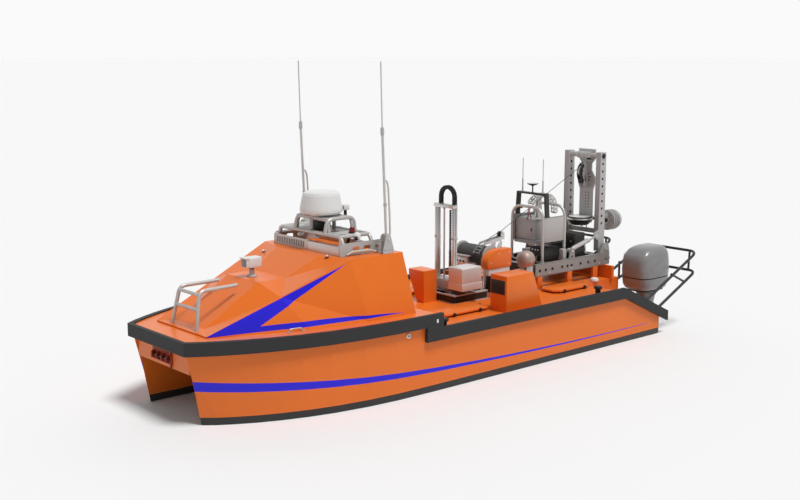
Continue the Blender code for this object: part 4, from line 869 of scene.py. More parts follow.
def deck_vents():
    """Round vents on the aft deck, outboard of the launch base."""
    for side, s in SIDES:
        p = Piece("deck_vent_" + side, "vessel", "white_plastic", "white", "steel")
        p.turned([(0, 0.052), (0.03, 0.048), (0.052, 0.034), (0.06, 0.014), (0.06, 0.006),
                  (0, 0.006)], (-2.848, s * 0.5, 0.591))
        p.turned([(0, 0.008), (0.05, 0.008), (0.05, 0.0), (0, 0.0)],
                 (-2.848, s * 0.5, 0.5906), finish=1)
        p.done()


def bollards():
    for end, x in (("forward", 0.55), ("aft", -2.13)):
        for side, s in SIDES:
            name, y = "%s_%s" % (end, side), s * 1.15
            p = Piece("fairlead_" + name, "vessel", "black_rubber", "black", "steel")
            p.turned([(0, 0.13), (0.038, 0.129), (0.05, 0.122), (0.055, 0.11), (0.052, 0.098),
                      (0.035, 0.088), (0.033, 0.05), (0.036, 0.025), (0.056, 0.014),
                      (0.0595, 0.006), (0.0595, 0), (0, 0)], (x, y, DECK))
            p.bolt((x, y, DECK + 0.126), radius=0.01, height=0.004, finish=1)
            p.done("bollard_" + name)


# ---------------------------------------------------------------- launch gear
def launch_channels():
    """Drilled beams on dark pads, cross members, and the posts of the A-frame and the rams."""
    p = Piece("launch_channels", "vessel", "galvanised_steel", "channel", "orange", "steel", "dark")
    back, front, foot = -3.12, -1.76, 0.7655
    hole_x = (-1.85, -1.967, -2.095, -2.289, -2.397, -2.478, -2.66, -2.82, -2.96)
    cross_x = (-1.82, -2.04, -2.47, -3.06)
    post = [(-3.27, 0.766), (-3.05, 0.766), (-3.05, 0.93), (-3.14, 1.06), (-3.24, 1.06),
            (-3.27, 0.93)]
    bracket = [(-2.55, 0.912), (-2.43, 0.912), (-2.458, 1.045), (-2.472, 1.059),
               (-2.528, 1.059), (-2.54, 1.045)]
    for s in (-1, 1):
        y, outer, inner = s * 0.385, s * 0.41, s * 0.36
        p.plate(square(back, foot, front, 0.93), s * 0.396, outer, "Y",
                [round_hole(x, 0.84, 0.022, 14) for x in hole_x])
        for z in (foot, 0.92):
            p.box((back, inner, z), (front, outer, z + 0.0095), 0.002)
        p.box((-3.115, s * 0.384, 0.772), (-1.768, s * 0.392, 0.924), 0.001, finish=3)
        p.box((-1.772, inner, foot), (front, outer, 0.9295), 0.002)
        for x in (-1.86, -2.45, -2.98):
            p.block((x, y, 0.603), (0.096, 0.048, 0.1625), 0.006, finish=1)
            p.block((x, y, DECK), (0.1, 0.05, 0.0135), 0.002, finish=2)
        p.plate(post, s * 0.3605, s * 0.4095, "Y",
                [round_hole(-3.2, 0.83, 0.02), round_hole(-3.11, 0.83, 0.02)], bevel=0.003)
        p.pin("Y", (FRAME_X, 1.0), s * 0.4085, s * 0.4145, 0.04, 24, finish=2)
        for u, v in circle(5, 0.028, (FRAME_X, 1.0)):
            p.bolt((u, s * 0.4145, v), (0, s, 0), 0.004, 0.004, finish=2)
        p.plate(bracket, s * 0.3872, s * 0.4028, "Y", [round_hole(-2.49, 0.955, 0.016)])
        p.pin("Y", (-2.5, 1.03), s * 0.32, s * 0.4025, 0.0098, finish=2)
        p.pin("Y", (-2.5, 1.03), s * 0.4025, s * 0.409, 0.017, 6, finish=2)
        for x in cross_x:
            p.bolt((x, s * 0.4095, 0.8), (0, s, 0), 0.009, 0.006, finish=2)
    for x in cross_x:
        p.box((x - 0.029, -0.382, 0.786), (x - 0.021, 0.382, 0.909), 0.002)
        for low, high in ((0.786, 0.794), (0.901, 0.9095)):
            p.box((x - 0.029, -0.382, low), (x + 0.029, 0.382, high), 0.002)
        p.box((x - 0.022, -0.38, 0.793), (x + 0.02, 0.38, 0.902), 0.002, finish=3)
    p.done("launch_base")


def base_controls():
    p = Piece("base_controls", "vessel", "dark_paint", "dark", "steel", "grey", "tow_red")
    p.box((-2.415, -0.02, 0.911), (-2.12, 0.235, 1.085), 0.008)
    p.box((-2.4, -0.24, 0.911), (-2.2, -0.06, 1.02), 0.008, finish=2)
    p.box((-2.43, 0.285, 0.931), (-2.36, 0.358, 1.06), 0.004, finish=2)
    p.tube([(-2.12, 0.18, 1.0), (-1.98, 0.22, 0.99), (-1.93, 0.26, 0.93)], 0.011, 0.05, 10)
    p.tube([(-2.12, 0.12, 0.96), (-2.0, 0.14, 0.96), (-1.86, 0.1, 0.912)], 0.009, 0.05, 10)
    for y in (0.03, 0.08, 0.13):
        p.pin("X", (y, 1.05), -2.121, -2.112, 0.011, 14, finish=1)
    p.done()


def hydraulic_motor():
    p = Piece("hydraulic_motor", "vessel", "grey_paint", "dull", "steel", "black")
    p.turned([(0, -0.001), (0.045, -0.003), (0.08, -0.014), (0.105, -0.038), (0.1145, -0.072),
              (0.1145, -0.14), (0.1, -0.145), (0.1, -0.174), (0, -0.1745)],
             (-1.56, 0.33, 1.005), "X", 40)
    p.turned(mirrored([(0.1135, 0.006), (0.1152, 0.004)]), (-1.652, 0.33, 1.005), "X", 40,
             finish=1)
    p.box((-1.7195, 0.2505, DECK), (-1.6005, 0.4095, 0.929), 0.01, finish=1)
    for y in (0.27, 0.39):
        p.pin("X", (y, 0.9), -1.599, -1.585, 0.011, 14, finish=2)
    p.done("launch_motor")


def hoops():
    for name, x in (("forward", -2.04), ("aft", -2.47)):
        p = Piece("hoop_tube_" + name, "vessel", "galvanised_steel", "galv", "steel")
        p.tube(portal(x, 0.275, 0.9105, 0.275, 1.63), 0.0195, 0.17, 20)
        for y in (-0.275, 0.275):
            p.pin("Z", (x, y), 0.9105, 0.925, 0.03, 20)
        p.done("hoop_" + name)


def control_cabinet():
    """A grey case and loose cables in an open box between the hoops."""
    p = Piece("control_cabinet", "vessel", "grey_paint", "grey", "steel", "tow_red", "black")
    x0, x1, half, floor = -2.4505, -2.0598, 0.2845, 1.1505
    p.box((x0, -half, floor), (x1, half, 1.172))
    p.box((x1 - 0.006, -0.25, 1.128), (x1, 0.25, 1.16), 0.002)
    p.box((x0 + 0.03, -0.26, 1.173), (x1 - 0.025, 0.09, 1.452), 0.014, segments=3)
    p.box((x0 + 0.024, -0.266, 1.436), (x1 - 0.019, 0.096, 1.4595), 0.006)
    p.box((x1 - 0.024, -0.225, 1.2), (x1 - 0.0205, 0.055, 1.415), 0.002)
    for z in (1.24, 1.37):
        p.pin("Z", (x1 - 0.019, -0.232), z - 0.02, z + 0.02, 0.006, 10, finish=1)
    p.box((x1 - 0.021, 0.03, 1.295), (x1 - 0.012, 0.042, 1.34), 0.002, finish=3)
    for s in (-1, 1):
        p.box((x0, s * half, floor), (x1, s * 0.272, 1.4995))
        for z in (floor, 1.4915):
            p.box((x0, s * half, z), (x1, s * 0.246, z + 0.008), 0.002)
        for x in (x0, x1 - 0.008):
            p.box((x, s * half, floor), (x + 0.008, s * 0.246, 1.4995), 0.002)
    p.tube([(-2.085, -0.02, 1.6), (-2.075, -0.03, 1.54), (-2.078, -0.02, 1.5),
            (-2.085, -0.05, 1.44)], 0.007, 0.02, 8, finish=2)
    p.tube([(-2.085, 0.01, 1.62), (-2.07, 0.0, 1.56), (-2.082, 0.03, 1.47)], 0.006, 0.02, 8,
           finish=2)
    p.tube([(-2.05, -0.22, 1.585), (-2.06, -0.17, 1.61), (-2.05, -0.11, 1.6)], 0.01, 0.02, 10,
           finish=3)
    p.done("launch_cabinet")


def stern_electronics():
    p = Piece("stern_electronics", "vessel", "dark_paint", "dark", "steel", "black")
    p.box((-2.939, -0.2495, 0.842), (-2.721, 0.2495, 1.013), 0.008)
    p.box((-2.934, -0.245, 1.017), (-2.726, 0.245, 1.219), 0.01)
    p.box((-2.93, -0.24, 1.008), (-2.73, 0.24, 1.022), 0.001, finish=2)
    p.box((-3.0295, -0.2495, 0.8205), (-2.5005, 0.2495, 0.8395), 0.002)
    for z in (0.87, 1.05):
        p.box((-2.722, -0.2, z), (-2.7195, 0.2, z + 0.12), 0.001, finish=2)
        for y in (-0.18, 0.18):
            p.bolt((-2.7195, y, z + 0.06), (1, 0, 0), 0.006, 0.004, finish=1)
    p.done("stern_cabinet")


def antenna_arch():
    p = Piece("arch", "vessel", "dark_paint", "dark", "grey", "steel", "white")
    x, z0, top = -2.13, 1.5005, 1.81
    for s in (-1, 1):
        leg = [(s * 0.251, z0), (s * 0.279, z0), (s * 0.257, top), (s * 0.229, top)]
        p.plate(leg[::s], x - 0.036, x + 0.036, "X", bevel=0.003)
        p.block((x, s * 0.262, z0 + 0.0003), (0.09, 0.04, 0.0087), 0.002)
        for low, high, radius, sides, finish in ((top, top + 0.17, 0.0095, 12, 1),
                                                 (top + 0.16, 2.26, 0.0052, 10, 1),
                                                 (top, top + 0.012, 0.016, 14, 2)):
            p.pin("Z", (x, s * 0.18), low, high, radius, sides, finish)
    p.box((x - 0.035, -0.252, top - 0.024), (x + 0.035, 0.252, top), 0.004)
    p.pin("Z", (x, 0), top, 1.912, 0.0095, 14)
    p.turned([(0, 0.034), (0.05, 0.031), (0.072, 0.024), (0.075, 0.017), (0.06, 0.008),
              (0.022, -0.006), (0.01, -0.014)], (x, 0, 1.908))
    p.turned([(0, 0.0335), (0.05, 0.0305), (0.069, 0.0255), (0.069, 0.022), (0, 0.022)],
             (x, 0, 1.9095), finish=3)
    p.done("antenna_arch")


def cable_chute():
    """Two drilled cheeks along an arc, with rollers between them, on a slotted stand."""
    p = Piece("perforated_chute", "vessel", "galvanised_steel", "galv", "steel", "black")
    outer = [(-2.075, 1.69), (-2.13, 1.74), (-2.2, 1.775), (-2.29, 1.79), (-2.39, 1.785),
             (-2.48, 1.755), (-2.555, 1.695), (-2.595, 1.61), (-2.6, 1.5)]
    inner = [(-2.54, 1.5), (-2.535, 1.6), (-2.505, 1.665), (-2.45, 1.705), (-2.38, 1.728),
             (-2.29, 1.732), (-2.22, 1.718), (-2.15, 1.685), (-2.1, 1.645)]
    middle = [((a[0] + b[0]) / 2, (a[1] + b[1]) / 2) for a, b in zip(outer, inner[::-1])]
    holes = [round_hole(a[0] + (b[0] - a[0]) * t, a[1] + (b[1] - a[1]) * t, 0.014, 10)
             for a, b in zip(middle, middle[1:]) for t in (0.25, 0.75)]
    for y in (-0.035, 0.03):
        p.plate(outer + inner, y, y + 0.005, "Y", holes)
    for spot in middle:
        p.pin("Y", spot, -0.034, 0.034, 0.011, 14, finish=1)
    foot = 1.4605
    stand = [(-2.222, foot), (-2.222, 1.73), (-2.288, 1.735), (-2.308, foot)]
    for y in (-0.0195, 0.012):
        p.plate(stand, y, y + 0.0075, "Y", [slot_hole(-2.26, 1.6, 0.12, 0.03, 90)])
    p.box((-2.312, -0.03, foot), (-2.216, 0.03, 1.47), 0.002)
    p.done("cable_guide")


def a_frame():
    """Legs of drilled channel, the cross shaft with its bearings, and the ram lugs."""
    p = Piece("a_frame_legs", "a_frame", "grey_paint", "grey", "black", "steel", "galv")
    x, head, lug = FRAME_X, FRAME_HEAD, (-3.06, 1.17)
    leg = [(x - 0.06, 0.94), (x + 0.06, 0.94), (x + 0.066, 1.25), (x + 0.058, 2.3),
           (x - 0.058, 2.3), (x - 0.066, 1.25)]
    ear = [(x + 0.04, 1.09), (-3.05, 1.135), (-3.036, 1.155), (-3.036, 1.185), (-3.05, 1.205),
           (x + 0.04, 1.25)]
    holes = [round_hole(x + 0.004, 1.327 + 0.102 * i, 0.019, 12) for i in range(9)]
    holes.append(round_hole(x, 1.0, 0.028, 16))
    for s in (-1, 1):
        y = s * 0.28
        for d in (-0.0395, 0.0315):
            p.plate(leg, y + d, y + d + 0.008, "Y", holes)
        p.plate(square(y - 0.039, 0.96, y + 0.039, 2.298), x + 0.048, x + 0.055, "X")
        p.box((x - 0.03, y - 0.033, 0.97), (x - 0.024, y + 0.033, 2.29), 0.001, finish=1)
        p.box((x - 0.057, y - 0.038, 2.288), (x + 0.057, y + 0.038, 2.2995))
        p.pin("Y", (x, 1.0), s * 0.3, s * 0.3592, 0.0298, 24, finish=2)
        p.pin("Y", (x, head), s * 0.3205, s * 0.328, 0.034, 24, finish=1)
        p.plate(ear, s * 0.3012, s * 0.3168, "Y")
        p.pin("Y", lug, s * 0.309, s * 0.3335, 0.0118, finish=2)
        p.pin("Y", lug, s * 0.295, s * 0.301, 0.02, 6, finish=2)
        p.pin("Y", (x, head), s * 0.14, s * 0.24, 0.036, 24)
        p.pin("Y", (x, head), s * 0.225, s * 0.2402, 0.048, 24, finish=3)
        for u, v in circle(6, 0.038, (x, head)):
            p.bolt((u, s * 0.225, v), (0, -s, 0), 0.005, finish=2)
        p.plate(square(x - 0.055, 1.16, x + 0.055, 1.3), s * 0.2305, s * 0.2365, "Y",
                [round_hole(x, 1.23, 0.015)], finish=3)
    p.box((x - 0.03, -0.242, 1.1805), (x + 0.03, 0.242, 1.2395), 0.006)
    p.pin("Y", (x, head), -0.28, 0.28, 0.0218, 24, finish=2)
    p.done("a_frame")


def docking_plate(p, x):
    """The hanging plate with its star of slots, its trunnion and the sheave's cheeks."""
    head, star_z, star_r = FRAME_HEAD, 1.935, 0.058
    half = [(0.1, 1.31), (0.115, 1.36), (0.115, 1.77), (0.15, 1.86), (0.15, 1.94),
            (0.085, 2.04), (0.085, 2.13), (0.145, 2.2), (0.145, 2.33)]
    rays = [i * pi / 4 + 0.2 for i in range(8)]
    spots = [(y, 1.52 + 0.041 * i) for y in (-0.005, 0.045) for i in range(6)]
    holes = [slot_hole(star_r * cos(a), star_z + star_r * sin(a), 0.042, 0.015, 45 * i + 11)
             for i, a in enumerate(rays)]
    holes += [round_hole(y, z, 0.009, 10) for y, z in spots]
    holes += [round_hole(0.0, 2.09, 0.016, 14), round_hole(-0.06, 1.4, 0.012, 10),
              round_hole(0.06, 1.4, 0.012, 10)]
    p.plate(half + [(-y, z) for y, z in reversed(half)], x - 0.0545, x - 0.0355, "X", holes)
    for a in rays:
        y, z = star_r * cos(a), star_z + star_r * sin(a)
        p.box((x - 0.05, y - 0.02, z - 0.0072), (x - 0.0345, y + 0.02, z + 0.0072), 0.001,
              finish=1, turn=(180 / pi * a, "X"))
    for spot in spots:
        p.pin("X", spot, x - 0.05, x - 0.0345, 0.0088, 10, finish=1)
    p.box((x - 0.056, -0.143, 2.285), (x - 0.03, 0.143, 2.3295), 0.004, finish=3)
    p.pin("Y", (x, head), -0.11, 0.11, 0.0445, 28)
    for y in (-0.108, -0.03, 0.05, 0.108):
        p.pin("Y", (x, head), y - 0.006, y + 0.006, 0.0498, 28, finish=3)
    p.pin("Z", (x + 0.02, 0.085), 2.18, 2.29, 0.026, 18, finish=3)
    p.pin("Z", (x + 0.02, 0.085), 2.19, 2.215, 0.032, 18, finish=1)
    p.box((x - 0.035, -0.1, 2.205), (x - 0.005, 0.1, 2.24), 0.004, finish=3)
    cheek = [(x - 0.036, 1.79), (x - 0.036, 2.12), (x + 0.02, 2.158), (x + 0.075, 2.138),
             (x + 0.118, 2.09), (x + 0.138, 2.03), (x + 0.135, 1.965), (x + 0.11, 1.905),
             (x + 0.075, 1.85), (x + 0.03, 1.795)]
    rim = cheek[3:-1]
    rim += [(x + (u - x) * 0.62, 2.0 + (v - 2.0) * 0.72) for u, v in reversed(rim)]
    for side in (-1, 1):
        y = side * 0.025
        p.plate(cheek, y - 0.0038, y + 0.0038, "Y",
                [round_hole(x + 0.075, 2.03, 0.0115, 14),
                 slot_hole(x + 0.02, 1.93, 0.1, 0.03, 80)])
        p.plate(rim, y - 0.0055, y + 0.0055, "Y", finish=1)
        p.bolt((x + 0.03, y + side * 0.0038, 2.11), (0, side, 0), 0.008, 0.006, finish=2)
    for spot in ((x + 0.03, 1.83), (x + 0.085, 1.9), (x + 0.03, 2.13)):
        p.pin("Y", spot, -0.022, 0.022, 0.007, 12, finish=2)


def docking_bell(p, x):
    """The bell under the plate, and the arm that carries the dish."""
    bell = (x + 0.08, 0, 1.285)
    p.turned([(0, 0.12), (0.168, 0.118), (0.175, 0.11), (0.175, 0.078), (0.166, 0.06),
              (0.15, 0.04), (0.12, 0.004), (0.11, 0), (0, 0)], bell, steps=48, finish=1)
    p.turned([(0, 0.1214), (0.15, 0.1208), (0.16, 0.116), (0.15, 0.112), (0, 0.112)], bell,
             steps=48, finish=4)
    p.turned([(0.1765, 0.1), (0.178, 0.094), (0.178, 0.086), (0.1765, 0.08)], bell, steps=48,
             finish=2)
    for y in (0.045, 0.128):
        p.pin("Z", (x + 0.09, y), 1.262, 1.3, 0.01, 12, finish=3)
    p.box((x - 0.036, -0.1, 1.325), (x, 0.1, 1.375), 0.004)
    p.box((x - 0.515, -0.029, 1.322), (x - 0.052, 0.029, 1.378), 0.005)
    p.box((x - 0.4, -0.03, 1.335), (x - 0.12, 0.03, 1.365), 0.002, finish=1)
    for k in range(4):
        p.bolt((x - 0.13 - 0.1 * k, 0.029, 1.35), (0, 1, 0), finish=2)


def docking_dish(p, x):
    """The finned drum at the arm's aft end, with its domed cap."""
    aft = x - 0.5
    p.turned([(0, -0.118), (0.14, -0.118), (0.1445, -0.13), (0.136, -0.166), (0.118, -0.2),
              (0.088, -0.236), (0.05, -0.254), (0, -0.259)], (aft, 0, 1.29), "X", 48)
    fins = [(0.02, 0)]
    for face, back, groove in ((0, -0.022, -0.04), (-0.04, -0.056, -0.075),
                               (-0.075, -0.092, -0.119)):
        fins += [(0.1445, face), (0.1445, back), (0.118, back), (0.118, groove)]
    p.turned(fins + [(0.02, -0.119)], (aft, 0, 1.29), "X", 48)
    p.pin("X", (0, 1.29), aft, x - 0.485, 0.05, 28, finish=2)
    p.pin("X", (0, 1.29), x - 0.485, x - 0.48, 0.034, 28, finish=1)
    for u, v in circle(6, 0.1, (0, 1.29), 0.5):
        p.bolt((aft, u, v), (1, 0, 0), 0.008, 0.006, finish=2)


def docking_head():
    p = Piece("docking_plate", "docking_head", "grey_paint", "grey", "black", "steel", "galv",
              "white", "dark")
    for part in (docking_plate, docking_bell, docking_dish):
        part(p, FRAME_X)
    p.done("docking_head")


def sheave():
    p = Piece("sheave_wheel", "sheave", "dark_paint", "steel", "black")
    place = (-3.115, 0, 2.03)
    p.turned(mirrored([(0.03, 0.0118), (0.066, 0.0135), (0.0697, 0.0115), (0.0697, 0.009),
                       (0.058, 0.0005)]), place, "Y", 48)
    p.turned(mirrored([(0, 0.0288), (0.0098, 0.0288), (0.0098, 0.014), (0.03, 0.0125)]), place,
             "Y", 28, finish=1)
    p.done("sheave")


def rams():
    """Hydraulic rams: a barrel with glands on the base, its rod out to the A-frame's lug."""
    base, lug = Vector((-2.5, 1.03)), Vector((-3.06, 1.17))
    length = (lug - base).length
    ux, uz = (lug - base).normalized()
    for side, s in SIDES:
        y = s * 0.35

        def at(d, lift=0.0):
            """A point at a distance along the ram, and beside its axis."""
            return (base.x + ux * d - uz * lift, y, base.y + uz * d + ux * lift)

        p = Piece("barrel_" + side, "ram_barrel_" + side, "bright_steel", "galv", "steel", "black")
        p.rod(at(0.035), at(0.4), 0.0262, 24)
        for a, b in ((0.035, 0.055), (0.36, 0.4), (0.2, 0.215)):
            p.rod(at(a), at(b), 0.0279, 24, finish=1)
        p.rod(at(0.398), at(0.403), 0.02, 20, finish=2)
        p.pin("Y", base, y - 0.0218, y + 0.0218, 0.0298, 24)
        p.rod(at(0.07, -0.031), at(0.36, -0.031), 0.006, 10, finish=1)
        for d in (0.07, 0.36):
            p.rod(at(d, -0.024), at(d, -0.037), 0.01, 12, finish=1)
        p.done("ram_barrel_" + side)
        p = Piece("piston_rod_" + side, "ram_rod_" + side, "bright_steel", "steel", "galv")
        p.rod(at(0.055), at(length - 0.02), 0.0143, 24)
        p.rod(at(length - 0.045), at(length - 0.018), 0.019, 18, finish=1)
        p.pin("Y", lug, y - 0.0158, y + 0.0158, 0.0238, 24, finish=1)
        p.done("ram_rod_" + side)


# ---------------------------------------------------------------- outboards and their rails
def oval(x, y, half_x, half_y, z, power=0.5, steps=48):
    """A rounded rectangle seen from above."""
    return [Vector((x + half_x * abs(c) ** power * (1 if c > 0 else -1),
                    y + half_y * abs(s) ** power * (1 if s > 0 else -1), z))
            for c, s in circle(steps, 1.0)]


def outboard(side, y):
    """A cowl with its trim line, the leg with fins and skeg, and the swivel's post."""
    cx, pz = -3.64, SCREW_Z
    cowl = ((0.425, 0.178, 0.222, 0.262), (0.45, 0.205, 0.262, 0.292), (0.5, 0.222, 0.29, 0.312),
            (0.6, 0.23, 0.303, 0.322), (0.72, 0.233, 0.307, 0.328), (0.82, 0.23, 0.3, 0.322),
            (0.9, 0.222, 0.284, 0.312), (0.955, 0.207, 0.256, 0.296),
            (0.993, 0.182, 0.216, 0.272), (1.015, 0.148, 0.166, 0.236), (1.026, 0.1, 0.1, 0.18),
            (1.0295, 0.04, 0.02, 0.1))
    leg = ((0.405, 0.125, 0.115, 0.19), (0.34, 0.115, 0.09, 0.175), (0.26, 0.095, 0.05, 0.155),
           (0.12, 0.078, 0.015, 0.138), (-0.05, 0.062, 0.0, 0.133), (-0.2, 0.048, -0.02, 0.128),
           (-0.34, 0.044, -0.03, 0.122), (pz, 0.042, -0.04, 0.118))
    p = Piece("cowl_" + side, "outboard_" + side, "cowl_grey", "cowl", "black", "steel",
              "anode")

    def ring(z, half, front, back, *more):
        """A ring that reaches ahead of and behind the swivel's middle."""
        return oval(cx + (front - back) / 2, y, (front + back) / 2, half, z, *more)

    rings = [ring(*row) for row in cowl]
    for v in (v for loop in rings for v in loop if v.z > 0.9):
        v.z -= 0.035 * max(0.0, v.x - cx) / 0.3
    p.loft(rings)
    p.loft([oval(cx - 0.02, y, 0.215, 0.16, 0.4003), oval(cx - 0.02, y, 0.235, 0.18, 0.412),
            oval(cx - 0.02, y, 0.24, 0.182, 0.43)], finish=1)
    p.loft([oval(cx - 0.009, y, 0.312 + d, 0.2305 + d / 1.5, z) for d, z in
            ((0, 0.596), (0.0015, 0.6), (0.0015, 0.606), (0, 0.61))], finish=1)
    p.loft([ring(*row, 0.75, 32) for row in leg])
    for k in range(4):
        z, grow = 0.31 + 0.024 * k, 0.008 * k
        p.loft([oval(cx - 0.045, y, 0.118 + grow + d, 0.105 + 0.007 * k + d, z + dz, 0.7, 32)
                for d, dz in ((0, 0), (0.003, 0.006), (0, 0.012))], finish=1)
    fin = [(0.02, 0.05), (-0.02, 0.068), (-0.1, 0.08), (-0.29, 0.07), (-0.3, 0.05)]
    p.plate([(cx + u, y + v) for u, v in fin] + [(cx + u, y - v) for u, v in reversed(fin)],
            pz + 0.1655, pz + 0.1745)
    p.turned([(0, 0.2), (0.018, 0.192), (0.036, 0.168), (0.049, 0.12), (0.055, 0.07),
              (0.055, -0.1), (0.052, -0.14), (0, -0.14)], (cx - 0.08, y, pz), "X", 32)
    skeg = [(0.02, -0.01), (0.002, -0.06), (-0.03, -0.12), (-0.08, -0.155), (-0.14, -0.17),
            (-0.18, -0.168), (-0.165, -0.08), (-0.15, -0.01)]
    p.plate([(cx + u, pz + v) for u, v in skeg], y - 0.0058, y + 0.0058, "Y", bevel=0.002)
    p.pin("Z", (-3.47, y), 0.02, 0.3, 0.0278, 20, finish=2)
    for z in (0.0205, 0.2705):
        p.box((cx - 0.02, y - 0.0298, z), (-3.461, y + 0.0298, z + 0.029), 0.004, finish=1)
    p.block((cx - 0.18, y, pz + 0.1), (0.04, 0.032, 0.065), 0.004, finish=3)
    p.done("outboard_" + side, angle=50)


def outboard_clamp(side, y):
    """The transom bracket with its swivel collar."""
    p = Piece("clamp_" + side, "vessel", "cowl_grey", "dark", "steel", "black")
    for d in (-0.0985, 0.0785):
        p.plate([(-3.4, 0.0), (-3.3405, 0.0), (-3.3405, 0.242), (-3.375, 0.242),
                 (-3.4, 0.21)], y + d, y + d + 0.02, "Y",
                [round_hole(-3.37, 0.06, 0.008), round_hole(-3.37, 0.12, 0.008)])
    p.box((-3.3995, y - 0.09, 0.004), (-3.3565, y + 0.09, 0.218), 0.005)
    p.box((-3.3995, y - 0.0995, 0.2205), (-3.3205, y + 0.0995, 0.2445), 0.005)
    p.turned(mirrored([(0.0295, 0.1045), (0.05, 0.1045), (0.0548, 0.098)]),
             (-3.47, y, 0.16))
    p.box((-3.428, y - 0.0398, 0.071), (-3.372, y + 0.0398, 0.199), 0.005)
    for d in (-0.06, 0.06):
        p.pin("X", (y + d, 0.16), -3.3405, -3.336, 0.012, 6, finish=1)
        p.bolt((-3.36, y + d, 0.2445), radius=0.011, height=0.008, finish=1)
    p.done("outboard_bracket_" + side)


def outboards():
    for side, s in SIDES:
        outboard(side, s * MOTOR_Y)
        outboard_clamp(side, s * MOTOR_Y)


def stern_rails():
    slope = (0.59 - 0.2) / (-2.555 + 3.34)
    up = Vector((-slope, 0, 1)).normalized()
    aft, root, bore = -4.2, -3.35, 0.0195
    for side, s in SIDES:
        p = Piece("rail_" + side, "vessel", "black_rubber", "tube_black", "steel")
        out_y, in_y = s * 1.19, s * 0.28
        feet = [Vector((x, out_y, 0.2 + slope * (x + 3.34))) for x in (-3.02, -3.29)]
        for foot, x, z, root_z, bend in ((feet[0], aft, 0.93, 0.56, 0.13),
                                         (feet[1], aft + 0.02, 0.66, 0.4, 0.11)):
            p.tube([foot + up * 0.012, (x, out_y, z), (x, in_y, z), (root, in_y, root_z)], bore,
                   bend, 18)
            p.rod(foot + up * 0.0005, foot + up * 0.012, 0.0298, 24)
            p.rod(foot + up * 0.01, foot + up * 0.045, 0.0225, 20)
        for y in (out_y - s * 0.12, in_y + s * 0.12):
            p.rod((aft, y, 0.93), (aft + 0.02, y, 0.66), 0.0158)
        p.rod((-3.62, out_y, 0.686), (-3.9, out_y, 0.556), 0.0158)
        p.rod((-3.66, in_y, 0.737), (-3.66, in_y, 0.51), 0.0158)
        p.box((-3.353, in_y - 0.05, 0.36), (-3.3405, in_y + 0.05, 0.585))
        p.box((-3.375, in_y - 0.02, 0.37), (-3.352, in_y + 0.02, 0.575))
        for z in (0.38, 0.565):
            for d in (-0.035, 0.035):
                p.bolt((-3.353, in_y + d, z), (-1, 0, 0), height=0.006, finish=1)
        p.done("stern_rail_" + side)


def propellers():
    front = -3.8603
    section = ((-1, 0), (-0.6, 1), (0, 1.2), (0.6, 1), (1, 0), (0.6, -1), (0, -1.2), (-0.6, -1))
    for side, s in SIDES:
        y = s * MOTOR_Y
        p = Piece("screw_" + side, "propeller_" + side, "dark_paint", "anode", "steel")
        p.turned([(0, 0), (0.046, 0), (0.0498, -0.006), (0.048, -0.07), (0.043, -0.115),
                  (0.03, -0.14), (0.018, -0.1495), (0, -0.1495)], (front, y, SCREW_Z), "X", 32)
        for i in range(3):
            turn = Matrix.Rotation(i * 2 * pi / 3, 3, "X")
            rings = []
            for t in (k / 6 for k in range(7)):
                chord = 0.036 + 0.052 * sin(pi * min(1.0, 0.16 + t * 0.78)) - 0.02 * t * t
                pitch, thick = radians(52 - 26 * t), 0.0042 - 0.0028 * t
                flat = [(u * chord / 2, v * thick) for u, v in section]
                rings.append([turn @ Vector((a * cos(pitch) - b * sin(pitch),
                                             a * sin(pitch) + b * cos(pitch), 0.038 + 0.121 * t))
                              + Vector((front - 0.06, y, SCREW_Z)) for a, b in flat])
            p.loft(rings)
        p.done("propeller_" + side)


for build in (roof_frame, roof_lights, roof_fittings, casing_details, bow_roll_bar, camera_case,
              whips, hoist_mast, cable_chain, chain_run, hoist_carriage, hoist_boxes, winch_mount,
              winch_reel, level_wind, winch_cover, haul_cable, deck_box, deck_locker, hatches,
              deck_vents, bollards, launch_channels, base_controls, hydraulic_motor, hoops,
              control_cabinet, stern_electronics, antenna_arch, cable_chute, a_frame,
              docking_head, sheave, rams, outboards, stern_rails, propellers):
    build()


# ---------------------------------------------------------------- finishes of the CAD nodes
def paint_nodes():
    finishes = {
        "hull_port": "hull", "hull_starboard": "hull", "bridge_deck": "hull",
        "forward_casing": "casing", "stern_bulkhead": "orange", "bow_fender": "rubber",
        "aft_fender_port": "rubber", "aft_fender_starboard": "rubber", "radome": "white",
        "camera_pedestal": "grey", "propeller_guard_port": "steel",
        "propeller_guard_starboard": "steel",
    }
    for node, finish in finishes.items():
        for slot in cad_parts[node].material_slots:
            slot.material = M[finish]


paint_nodes()


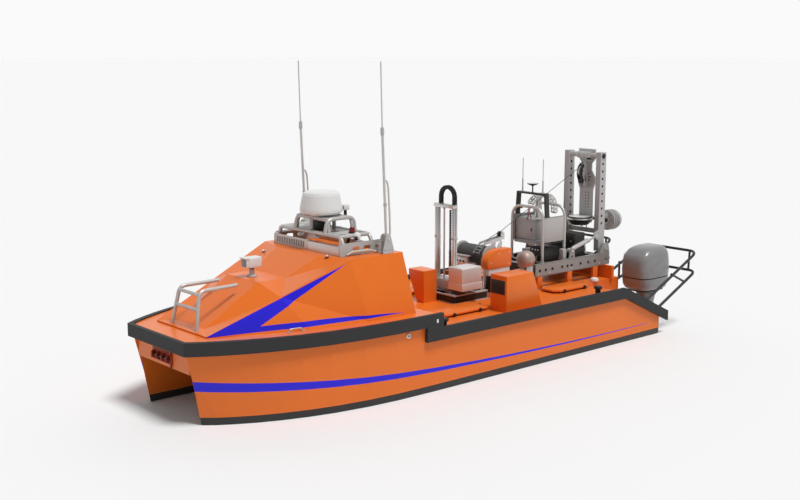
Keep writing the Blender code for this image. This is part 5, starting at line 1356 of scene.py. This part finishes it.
# ---------------------------------------------------------------- camera, floor and light
def put(name, data):
    """A new object in the scene."""
    obj = bpy.data.objects.new(name, data)
    bpy.context.scene.collection.objects.link(obj)
    return obj


def add_camera():
    camera = bpy.data.cameras.new("camera")
    camera.lens, camera.sensor_width, camera.clip_end = 51.24, 36.0, 2000
    forward, right, up = ((-0.6459, -0.7441, -0.1714), (-0.7552, 0.6556, 0.0),
                          (-0.1124, -0.1294, 0.9854))
    turn = Matrix([(right[i], up[i], -forward[i]) for i in range(3)])
    obj = put("camera", camera)
    obj.matrix_world = Matrix.Translation((9.058, 10.2, 3.648 + LIFT)) @ turn.to_4x4()
    bpy.context.scene.camera = obj


def add_floor():
    floor = bmesh.new()
    bmesh.ops.create_grid(floor, x_segments=1, y_segments=1, size=600)
    mesh = bpy.data.meshes.new("floor")
    floor.to_mesh(mesh)
    floor.free()
    material, _, shader = new_material("studio_floor")
    for socket, value in (("Base Color", (0.86, 0.86, 0.86, 1)), ("Roughness", 0.9),
                          ("Specular IOR Level", 0.1)):
        shader.inputs[socket].default_value = value
    mesh.materials.append(material)
    put("floor", mesh)


def add_light():
    """A soft sun, and a world that is brighter behind the camera's view of the boat."""
    world = bpy.data.worlds.new("studio")
    bpy.context.scene.world = world
    world.use_nodes = True
    tree = world.node_tree
    x, y, z = parts_of(tree, tree.nodes.new("ShaderNodeTexCoord").outputs["Generated"])
    behind = ranged(tree, x * -0.65 + y * -0.74 - z * 0.6, (-0.1, 0.6), (0.26, 0.955))
    behind.interpolation_type = "SMOOTHSTEP"
    background = tree.nodes["Background"]
    background.inputs["Color"].default_value = (1, 1, 1, 1)
    tree.links.new(behind.outputs[0], background.inputs["Strength"])
    light = bpy.data.lights.new("key", "SUN")
    light.energy, light.angle = 2.5, radians(18)
    lamp = put("key", light)
    lamp.rotation_euler = Vector((0.06, -0.37, -0.93)).to_track_quat("-Z", "Y").to_euler()
    bpy.context.scene.view_settings.view_transform = "Standard"


add_camera()
add_floor()
add_light()
